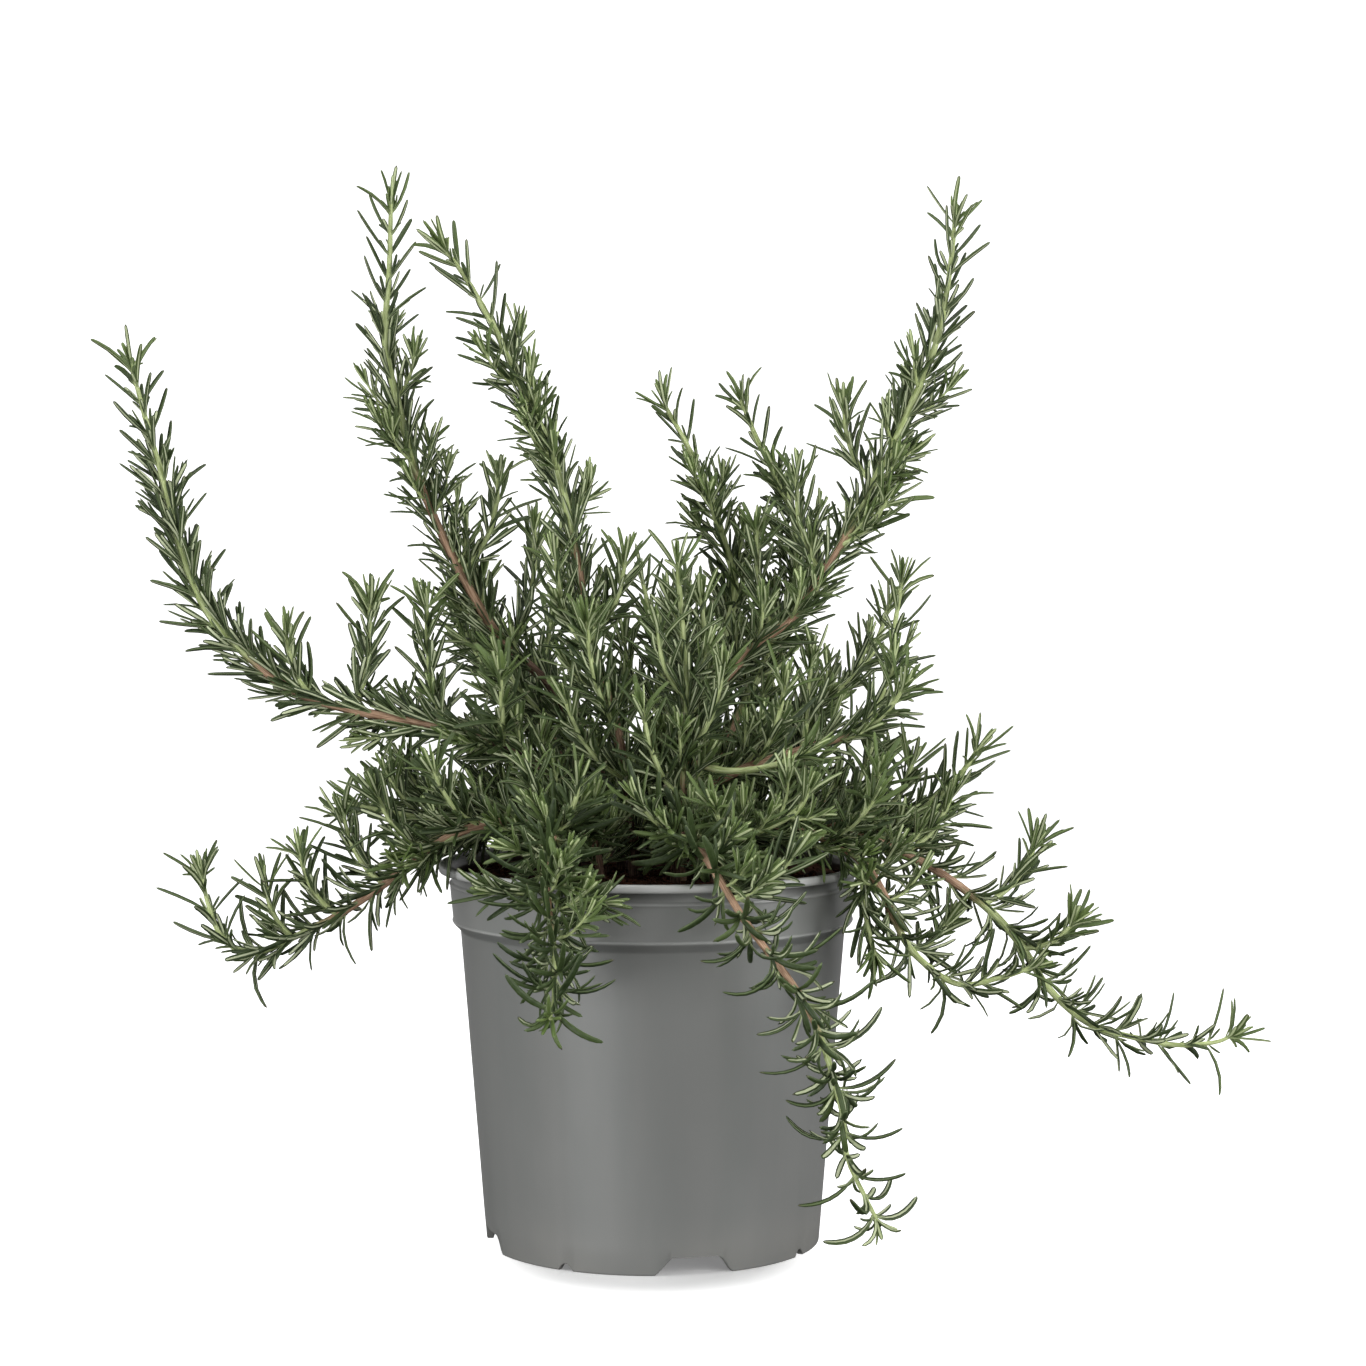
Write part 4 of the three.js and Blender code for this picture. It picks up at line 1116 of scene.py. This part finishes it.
def stem_bark():
    """Ribbed green bark that turns brown as its stored age grows, then dark: old bark and painted shade."""
    recipe = Recipe("stem_bark", roughness=0.62, specular=0.3)
    age, deep, _ = recipe.stored("bark_age_and_shade")
    grain = recipe.joined(*recipe.stored("bark_grain"))
    ribs = recipe.cloud(recipe.stretched(grain, (3.2, 3.2, 0.8)), 1.6, 2)
    patches = recipe.cloud(grain, 1.1, 2)
    green = recipe.mix(recipe.span(ribs, 0.35, 0.65), tone(158, 174, 108), tone(204, 215, 162))
    brown = recipe.mix(recipe.span(ribs, 0.35, 0.65), tone(146, 112, 90), tone(198, 166, 138))
    # Dark brown near the root: partly old bark and partly painted shade of the foliage above.
    dark = recipe.mix(recipe.span(ribs, 0.35, 0.65), tone(70, 52, 42), tone(124, 98, 84))
    woody = recipe.mix(recipe.span(deep, 0.5, 1.0), brown, dark)
    mottled = recipe.span(recipe.math("ADD", age, recipe.math("MULTIPLY", patches, 0.6)), 0.45, 1.05)
    recipe.bump(ribs, 0.6, 0.0004)
    return recipe.finish(recipe.mix(mottled, green, woody))


bark_finish = stem_bark()
bark_triangles = 0
for name, branches in stem_branches.items():
    bark = make_bark(name + "_bark", branches, bark_finish)
    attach(bark, "root")
    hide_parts(name)
    bark_triangles += triangles(bark)
print("bark:", bark_triangles, "triangles")

# %% [markdown]
# ## Needles: one leaf
# A rosemary needle is a narrow leathery leaf, about 24 mm long and 2.3 mm wide. Its green margins roll
# under, so that the dark top is arched with a fine groove along the middle, and the felted underside is a
# pale stripe between two green rolls. The tip is blunt. The section has eight points for the long needles
# and six for the small ones, and the blade bends along its length. The hooked needles of the front trails
# get more rings, so that they bend smoothly. Each corner of a section below has its place across, its
# height, and its skin from 1, the green top, to 0, the felt underneath.

# %% Needle sections and rings
LONG_SECTION = np.array([(-1, 0, 0.85), (-0.62, 0.5, 1), (0, 0.34, 1), (0.62, 0.5, 1),
                         (1, 0, 0.85), (0.68, -0.48, 0.5), (0, -0.2, 0), (-0.68, -0.48, 0.5)])
SMALL_SECTION = np.array([(-1, 0, 0.85), (-0.45, 0.52, 1), (0.45, 0.52, 1),
                          (1, 0, 0.85), (0.36, -0.44, 0.05), (-0.36, -0.44, 0.05)])
LONG_RINGS = np.array([0, 0.12, 0.35, 0.62, 0.85, 0.96, 1])
SMALL_RINGS = np.array([0, 0.3, 0.7, 0.93, 1])
FINE_LONG_RINGS = np.array([0, 0.1, 0.22, 0.36, 0.5, 0.64, 0.78, 0.9, 0.97, 1])
FINE_SMALL_RINGS = np.array([0, 0.16, 0.34, 0.52, 0.72, 0.9, 1])
WIDTH_SHARES = [0.45, 0.72, 0.97, 1.0, 0.88, 0.64, 0]
ARC_MIDDLE = 0.3


def half_width(share):
    """A narrow foot, a blade widest past its middle, and a blunt tip, as a share of the half width."""
    return np.interp(share, LONG_RINGS, WIDTH_SHARES)


print("share of the half width at the foot, middle and tip:", half_width(np.array([0.0, 0.5, 0.96])))

# %% [markdown]
# All the needles of a stem are made in one go with arrays, which is much faster than making thousands of
# objects. Every needle is walked ring by ring: it heads a little more outwards at each, sways, and is
# pulled upwards.

# %% Needle blades


def crossways(top, head):
    """The top direction, made square to the head and one long."""
    top = top - head * np.sum(top * head, axis=1)[:, None]
    return top / np.linalg.norm(top, axis=1)[:, None]


def blades(needles, section, rings):
    """Points (needle, ring, corner), each ring's middle, and the needles' values as arrays."""
    take = {key: np.array([needle[key] for needle in needles]) for key in needles[0]}
    along, out = take["along"], take["out"]
    side = np.cross(along, out)
    roll = take["roll"][:, None]
    middle = take["base"].copy()
    middles = [middle]
    layers = []
    for i, share in enumerate(rings):
        lean = (take["spread"] + take["arc"] * (share - ARC_MIDDLE))[:, None]
        head = np.cos(lean) * along + np.sin(lean) * out
        head = head + (take["sway"] * share)[:, None] * side
        head = head + take["pull"][:, None] * share * UPRIGHT
        head /= np.linalg.norm(head, axis=1)[:, None]
        if i:
            middle = middle + head * (take["length"] * (share - rings[i - 1]))[:, None]
            middles.append(middle)
        top = crossways(np.sin(lean) * along - np.cos(lean) * out, head)
        wing = np.cross(top, head)
        wing, top = wing * np.cos(roll) + top * np.sin(roll), top * np.cos(roll) - wing * np.sin(roll)
        wide = (take["width"] / 2 * half_width(share))[:, None, None]
        corners = section[None, :, :1] * wing[:, None] + section[None, :, 1:2] * top[:, None]
        layers.append(middle[:, None] + wide * corners)
    return np.stack(layers[:-1], axis=1), np.stack(middles, axis=1), take


def needle_mesh(needles, section, rings):
    """Points, faces and stored rows of a batch of needles that share a section."""
    layers, middles, take = blades(needles, section, rings)
    count, ring_count, corners = layers.shape[:3]
    per_needle = ring_count * corners + 1
    tips = middles[:, -1][:, None]
    points = np.concatenate([layers.reshape(count, -1, 3), tips], axis=1).reshape(-1, 3)
    pattern = []
    for ring in range(ring_count - 1):
        for k in range(corners):
            low, high = ring * corners, (ring + 1) * corners
            m = (k + 1) % corners
            pattern.append((low + m, low + k, high + k, high + m))
    last = (ring_count - 1) * corners
    fan = [(last + (k + 1) % corners, last + k, per_needle - 1) for k in range(corners)]
    starts = (np.arange(count) * per_needle)[:, None, None]
    faces = (np.array(pattern)[None] + starts).reshape(-1, 4).tolist()
    faces += (np.array(fan)[None] + starts).reshape(-1, 3).tolist()
    place = [(share, across, upper) for share in rings[:-1] for across, _, upper in section]
    places = np.tile(np.array([*place, (1, 0, 0.6)]), (count, 1))
    ages = np.repeat(np.stack([take["tint"], take["youth"], take["dry"]], axis=1), per_needle, axis=0)
    return points, faces, places, ages


def make_needles(name, batches, material):
    """One piece from batches of (needles, section, rings)."""
    points, faces, places, ages = [], [], [], []
    start = 0
    for needles, section, rings in batches:
        if not needles:
            continue
        found = needle_mesh(needles, section, rings)
        points.append(found[0])
        faces += [[corner + start for corner in face] for face in found[1]]
        places.append(found[2])
        ages.append(found[3])
        start += len(found[0])
    piece = new_piece(name, np.vstack(points) * MM + POT_AXIS, faces, material)
    store(piece.data, "needle_place", np.vstack(places))
    store(piece.data, "needle_age", np.vstack(ages))
    return piece


for label, section, rings in (("long", LONG_SECTION, LONG_RINGS), ("small", SMALL_SECTION, SMALL_RINGS)):
    print("a", label, "needle has", (len(rings) - 1) * len(section) + 1, "points")

# %% [markdown]
# ## Needles: how they grow
# Needles grow in opposite pairs, and each pair is turned a quarter round from the one before. A long needle
# stands at about 43 degrees to the stem, and less near the stem's tip. No two are alike, so each value
# varies by chance: the numbers below called UNEVEN are how far it usually strays. On trailing stems the
# long needles arc back like sickles.

# %% One needle
NEEDLE_LENGTH = 24.5
NEEDLE_WIDTH = 2.3
NEEDLE_SPREAD = 47
LENGTH_RANGE = (0.82, 1.1)
WIDTH_RANGE = (0.85, 1.1)
TIP_SPREAD = 38
TIP_STRETCH = 18
TIP_ARC = 14
TIP_SHORTENING = 0.12
FOOT_DEPTH = 0.6
YOUTH_REACH = 17
UNEVEN = dict(spread=9.5, arc=19, sway=0.23, pull=0.05, roll=18)


def unit(vector):
    """The same direction, one long."""
    return vector / np.linalg.norm(vector)


def new_needle(branch, distance, turn, rng, **given):
    """A needle on the branch's bark at a distance and an angle round it; given overrides any value."""
    place, head, side, over = branch["line"].at(distance)
    out = side * math.cos(turn) + over * math.sin(turn)
    left = branch["line"].length - distance
    near_tip = 1 - min(1, left / TIP_STRETCH)
    spread = NEEDLE_SPREAD + branch["open"] + (TIP_SPREAD - NEEDLE_SPREAD) * near_tip
    full_length = NEEDLE_LENGTH * branch["long"] * (1 - TIP_SHORTENING * near_tip)
    needle = dict(
        base=place + out * radius_at(branch, distance) * FOOT_DEPTH,
        along=head,
        out=out,
        spread=math.radians(spread + rng.normal(0, UNEVEN["spread"])),
        arc=math.radians(branch["arc"] + TIP_ARC * near_tip + rng.normal(0, UNEVEN["arc"])),
        sway=rng.normal(0, UNEVEN["sway"]),
        pull=branch["pull"] + rng.normal(0, UNEVEN["pull"]),
        roll=math.radians(rng.normal(0, UNEVEN["roll"])),
        length=full_length * rng.uniform(*LENGTH_RANGE),
        width=NEEDLE_WIDTH * branch["broad"] * rng.uniform(*WIDTH_RANGE),
        tint=rng.uniform(),
        youth=max(branch["fresh"] * math.exp(-left / YOUTH_REACH), branch["youth"]),
        dry=rng.uniform())
    needle.update(given)
    return needle


print("a long needle stands at", NEEDLE_SPREAD + USUAL_HABIT["open"], "degrees to a usual stem")

# %% [markdown]
# In the crook of each long needle sits a tuft, which is a very short shoot of its own: it leans out, and
# its needles lie nearly side by side. Tufts start as one or two small needles near the stem's tip and ripen
# downwards to four to six longer ones. The tip itself is a bud of pale, pressed young needles, with a fan
# round it.

# %% Tufts, pairs and buds
SMALL_WIDTH = 1.8
TUFT_LEAN = 31
TUFT_START_SHARE = 0.42
TUFT_SPREADS = (6, 26)
TUFT_TURN = 2.4
TUFT_STEP = 0.8
TUFT_FOOT = 0.7
TUFT_LENGTHS = (0.8, 1.15)
TUFT_WIDTHS = (0.85, 1.12)
TUFT_YOUTHS = (0, 0.35)
YOUNG_TUFT_LENGTH = 7.5
TUFT_GROWTH = 10.5
LEAST_RIPE = 0.4
LOST_UNDERNEATH = 0.6
BUD_NEEDLES = 5
BUD_PLACES = (0.2, 1.6)
BUD_SPREADS = (3, 16)
BUD_LENGTHS = (8, 14)
FAN_NEEDLES = 4
FAN_PLACES = (1.0, 4.0)
FAN_SHARES = (0.6, 1.4)
FAN_LENGTHS = (15, 21)
FAN_YOUTHS = (0.35, 0.75)


def ripeness(branch, distance):
    """From 0 near a main stem's tip to 1 far below. Other branches bear tufts that are part grown."""
    left = branch["line"].length - distance
    ripe = min(1, max(0, left / branch["ripens"] - TUFT_START_SHARE))
    return ripe if branch["kind"] == "main" else LEAST_RIPE + (1 - LEAST_RIPE) * ripe


def grow_tuft(branch, distance, turn, youth, rng):
    """The needles of the short shoot in a crook, which are more and longer the riper it is."""
    place, head, side, over = branch["line"].at(distance)
    out = side * math.cos(turn) + over * math.sin(turn)
    lean = math.radians(TUFT_LEAN + branch["open"] + rng.normal(0, 5))
    axis = unit(head * math.cos(lean) + out * math.sin(lean))
    cross = np.cross(head, out)
    base = place + out * radius_at(branch, distance) * TUFT_FOOT + head
    ripe = ripeness(branch, distance)
    full = branch["tufts"] * ripe * (1 + LOST_UNDERNEATH * min(0, out[2]))
    count = rng.integers(1, 3) + round(full + rng.uniform(-0.4, 0.4))
    needles = []
    for i in range(count):
        angle = i * TUFT_TURN + rng.normal(0, 0.4)
        away = unit(np.cross(cross, axis)) * math.cos(angle) + cross * math.sin(angle)
        needles.append(new_needle(
            branch, distance, turn, rng,
            base=base + axis * (TUFT_STEP * i),
            along=axis,
            out=away,
            spread=math.radians(rng.uniform(*TUFT_SPREADS) + max(0, branch["open"])),
            length=rng.uniform(*TUFT_LENGTHS) * (YOUNG_TUFT_LENGTH + TUFT_GROWTH * ripe * branch["long"]),
            width=SMALL_WIDTH * branch["broad"] * rng.uniform(*TUFT_WIDTHS),
            youth=max(youth, rng.uniform(*TUFT_YOUTHS))))
    return needles


def grow_pair(branch, distance, turn, rng):
    """Two long needles opposite each other, and the tufts in their crooks."""
    long, small = [], []
    for half in (0, math.pi):
        angle = turn + half + rng.normal(0, 0.16)
        leaf = new_needle(branch, distance + rng.normal(0, 0.5), angle, rng)
        long.append(leaf)
        small += grow_tuft(branch, distance, angle, leaf["youth"], rng)
    return long, small


def grow_bud(branch, rng):
    """The pale young needles pressed together at the tip, and on a larger branch a fan round them."""
    bud = []
    fan = 0 if branch["kind"] == "sprig" else FAN_NEEDLES
    for i in range(fan):
        distance = branch["line"].length - rng.uniform(*FAN_PLACES)
        turn = i * math.tau / fan + rng.normal(0, 0.4)
        bud.append(new_needle(
            branch, distance, turn, rng,
            spread=math.radians(branch["fan"] * rng.uniform(*FAN_SHARES)),
            length=rng.uniform(*FAN_LENGTHS),
            width=SMALL_WIDTH * rng.uniform(1.0, 1.2),
            youth=rng.uniform(*FAN_YOUTHS)))
    for i in range(BUD_NEEDLES):
        turn = i * math.tau / BUD_NEEDLES + rng.normal(0, 0.3)
        distance = branch["line"].length - rng.uniform(*BUD_PLACES)
        bud.append(new_needle(
            branch, distance, turn, rng,
            spread=math.radians(rng.uniform(*BUD_SPREADS) + max(0, branch["open"])),
            arc=math.radians(rng.normal(0, 6)),
            length=rng.uniform(*BUD_LENGTHS),
            width=SMALL_WIDTH * rng.uniform(*WIDTH_RANGE),
            youth=1.0))
    return bud


for share in (0.0, 0.5, 1.0):
    length = YOUNG_TUFT_LENGTH + TUFT_GROWTH * share
    print("a tuft's needles are about", round(length, 1), "mm long at ripeness", share)

# %% [markdown]
# Needles near the rim would run into the pot's wall or the peat. Each needle's middle line is tested at its
# rings. One that meets the pot is turned upwards and shortened, and left out if that isn't enough.

# %% Keep needles out of the pot
POT_MARGIN = 1.2
SOIL_MARGIN = 0.5
LIFTED_LENGTH = 0.8
LIFTED_PULL = 0.3
LIFT = 1.4


def meets_pot(points):
    """Whether each point, in millimetres from the pot's axis, lies in or too near the wall or the peat."""
    out = np.hypot(points[..., 0], points[..., 1])
    height = points[..., 2]
    over_soil = (out < COLLAR_RADIUS - WALL) & (height < soil_height(out) + SOIL_MARGIN)
    body = BASE_RADIUS + (BODY_TOP_RADIUS - BASE_RADIUS) * np.clip(height / LEDGE_BOTTOM, 0, 1)
    wall = np.where(height > COLLAR_TOP, RIM_RADIUS, COLLAR_RADIUS)
    outside = np.where(height > LEDGE_BOTTOM, wall, body)
    in_wall = (out > COLLAR_RADIUS - WALL - POT_MARGIN) & (out < outside + POT_MARGIN)
    deep = (out <= COLLAR_RADIUS - WALL - POT_MARGIN) & (height < STEM_START - 6)
    below_rim = height < POT_HEIGHT + POT_MARGIN
    return over_soil | deep | (in_wall & below_rim)


def hits(needles, section, rings):
    """For each needle, whether its middle line meets the pot anywhere past its foot."""
    middles = blades(needles, section, rings)[1]
    return meets_pot(middles[:, 1:]).any(axis=1)


def clear_of_pot(needles, section, rings):
    """The needles that stay clear of the pot, some of them lifted and shortened to do so."""
    if not needles:
        return []
    kept, lifted = [], []
    for needle, hit in zip(needles, hits(needles, section, rings)):
        if not hit:
            kept.append(needle)
            continue
        up = UPRIGHT - needle["along"] * needle["along"][2]
        out = unit(needle["out"] + LIFT * up)
        length = needle["length"] * LIFTED_LENGTH
        lifted.append({**needle, "out": out, "length": length, "pull": LIFTED_PULL})
    if lifted:
        found = hits(lifted, section, rings)
        kept += [needle for needle, hit in zip(lifted, found) if not hit]
    return kept


rim_point = np.array([RIM_RADIUS - 1.0, 0, POT_HEIGHT - 1.0])
print("a point in the rim meets the pot:", bool(meets_pot(rim_point)))

# %% [markdown]
# Now each branch is walked from its first pair of needles to its tip. The pairs come closer together near
# the tip, where the stem is still lengthening. The first pair is turned by 45 degrees, so that from in
# front the pale stem shows between the needles. The needles of a sprig are all small ones, and tufts stay
# small under a level stem.

# %% Grow every branch
FIRST_TURN = math.radians(45)
YOUTH = dict(main=0.0, shoot=0.06, sprig=0.08)
SPRIG_SIZE = 0.78
BARE_TIP = 2
TIP_CROWDING = 0.3
SPACING_SHARES = (0.88, 1.12)
STRONG_ARC = 32


def grow_branch(branch, rng):
    """The long and the small needles of a branch."""
    long, small = [], []
    line = branch["line"]
    distance, turn = branch["first"], FIRST_TURN
    while distance < line.length - BARE_TIP:
        pair, tuft = grow_pair(branch, distance, turn + rng.normal(0, 0.14), rng)
        if branch["kind"] == "sprig":
            small += [{**leaf, "length": leaf["length"] * SPRIG_SIZE, "width": leaf["width"] * SPRIG_SIZE}
                      for leaf in pair]
        else:
            long += pair
        small += tuft
        turn += math.pi / 2
        left = line.length - distance
        closing = 1 - TIP_CROWDING + TIP_CROWDING * min(1, left / TIP_STRETCH)
        distance += branch["spacing"] * closing * rng.uniform(*SPACING_SHARES)
    return long, small + grow_bud(branch, rng)


def grow_stem(stem, rng):
    """The long and the small needles of a stem, each batch with its section and its rings."""
    long, small = [], []
    for branch in stem_branches[stem["name"]]:
        branch["youth"] = YOUTH[branch["kind"]]
        found = grow_branch(branch, rng)
        long += found[0]
        small += found[1]
    hooked = stem["arc"] > STRONG_ARC
    long_rings = FINE_LONG_RINGS if hooked else LONG_RINGS
    small_rings = FINE_SMALL_RINGS if hooked else SMALL_RINGS
    return [(clear_of_pot(long, LONG_SECTION, long_rings), LONG_SECTION, long_rings),
            (clear_of_pot(small, SMALL_SECTION, small_rings), SMALL_SECTION, small_rings)]


hooked_stems = [stem["name"] for stem in STEMS if stem["arc"] > STRONG_ARC]
print("stems with hooked needles:", ", ".join(hooked_stems))

# %% [markdown]
# ## Needles: colour
# The top of a needle is a dark, slightly grey green with a paler line along each margin, and painted shade
# darkens it along the middle groove. The underside is pale felt. Young needles are lighter and yellower, the
# foot of each is pale, and the very tip is often dull. All of this is steered by what each point has
# stored: its place on the needle, and the needle's own tint and youth.

# %% Needle material
NEEDLE_SEED = 500


def needle_green():
    """Green above and felted below, with pale margins and foot, a dull tip and painted shade along the
    middle.
    """
    recipe = Recipe("needle_green", roughness=0.5, specular=0.34)
    share, across, upper = recipe.stored("needle_place")
    tint, youth, dry = recipe.stored("needle_age")
    mottle = recipe.cloud(recipe.place(), 420, 2)
    old_top = recipe.mix(tint, tone(38, 52, 25), tone(61, 77, 39))
    young_top = recipe.mix(tint, tone(92, 113, 56), tone(120, 140, 79))
    top = recipe.mix(recipe.span(youth, 0.1, 1.0, 0.0, 0.9), old_top, young_top)
    top = recipe.mix(recipe.span(mottle, 0.45, 0.75, 0.0, 0.3), top, tone(92, 108, 76))
    margin = recipe.math("MULTIPLY", recipe.band(upper, 0.8, 0.16), 0.5)
    top = recipe.mix(margin, top, tone(126, 142, 100))
    # Painted shade darkens the top along its middle groove.
    midrib_shade = recipe.span(recipe.math("ABSOLUTE", across), 0.0, 0.2, 0.35, 0.0)
    top = recipe.mix(midrib_shade, top, tone(38, 52, 28))
    under = recipe.mix(youth, tone(192, 200, 166), tone(192, 204, 154))
    face = recipe.mix(recipe.span(upper, 0.28, 0.14), top, under)
    foot = recipe.mix(recipe.span(share, 0.22, 0.0, 0.0, 0.85), face, tone(164, 178, 130))
    lip_highlight_and_worn_tip = recipe.math("MULTIPLY", recipe.span(share, 0.9, 1.0), recipe.span(dry, 0.45, 0.9, 0.0, 0.8))
    return recipe.finish(recipe.mix(lip_highlight_and_worn_tip, foot, tone(84, 78, 60)))


needle_finish = needle_green()
needle_total, needle_triangles = 0, 0
for number, stem in enumerate(STEMS):
    batches = grow_stem(stem, np.random.default_rng(NEEDLE_SEED + number))
    long, small = batches[0][0], batches[1][0]
    piece = make_needles(stem["name"] + "_needles", batches, needle_finish)
    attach(piece, "root")
    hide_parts(stem["name"])
    needle_total += len(long) + len(small)
    needle_triangles += triangles(piece)
    print(stem["name"], len(long), "long and", len(small), "small needles,", triangles(piece), "triangles")
print("needles:", needle_total, "with", needle_triangles, "triangles")

# %% [markdown]
# ## Finish
# At the end the scene is brought up to date.

# %% Finish
bpy.context.view_layer.update()
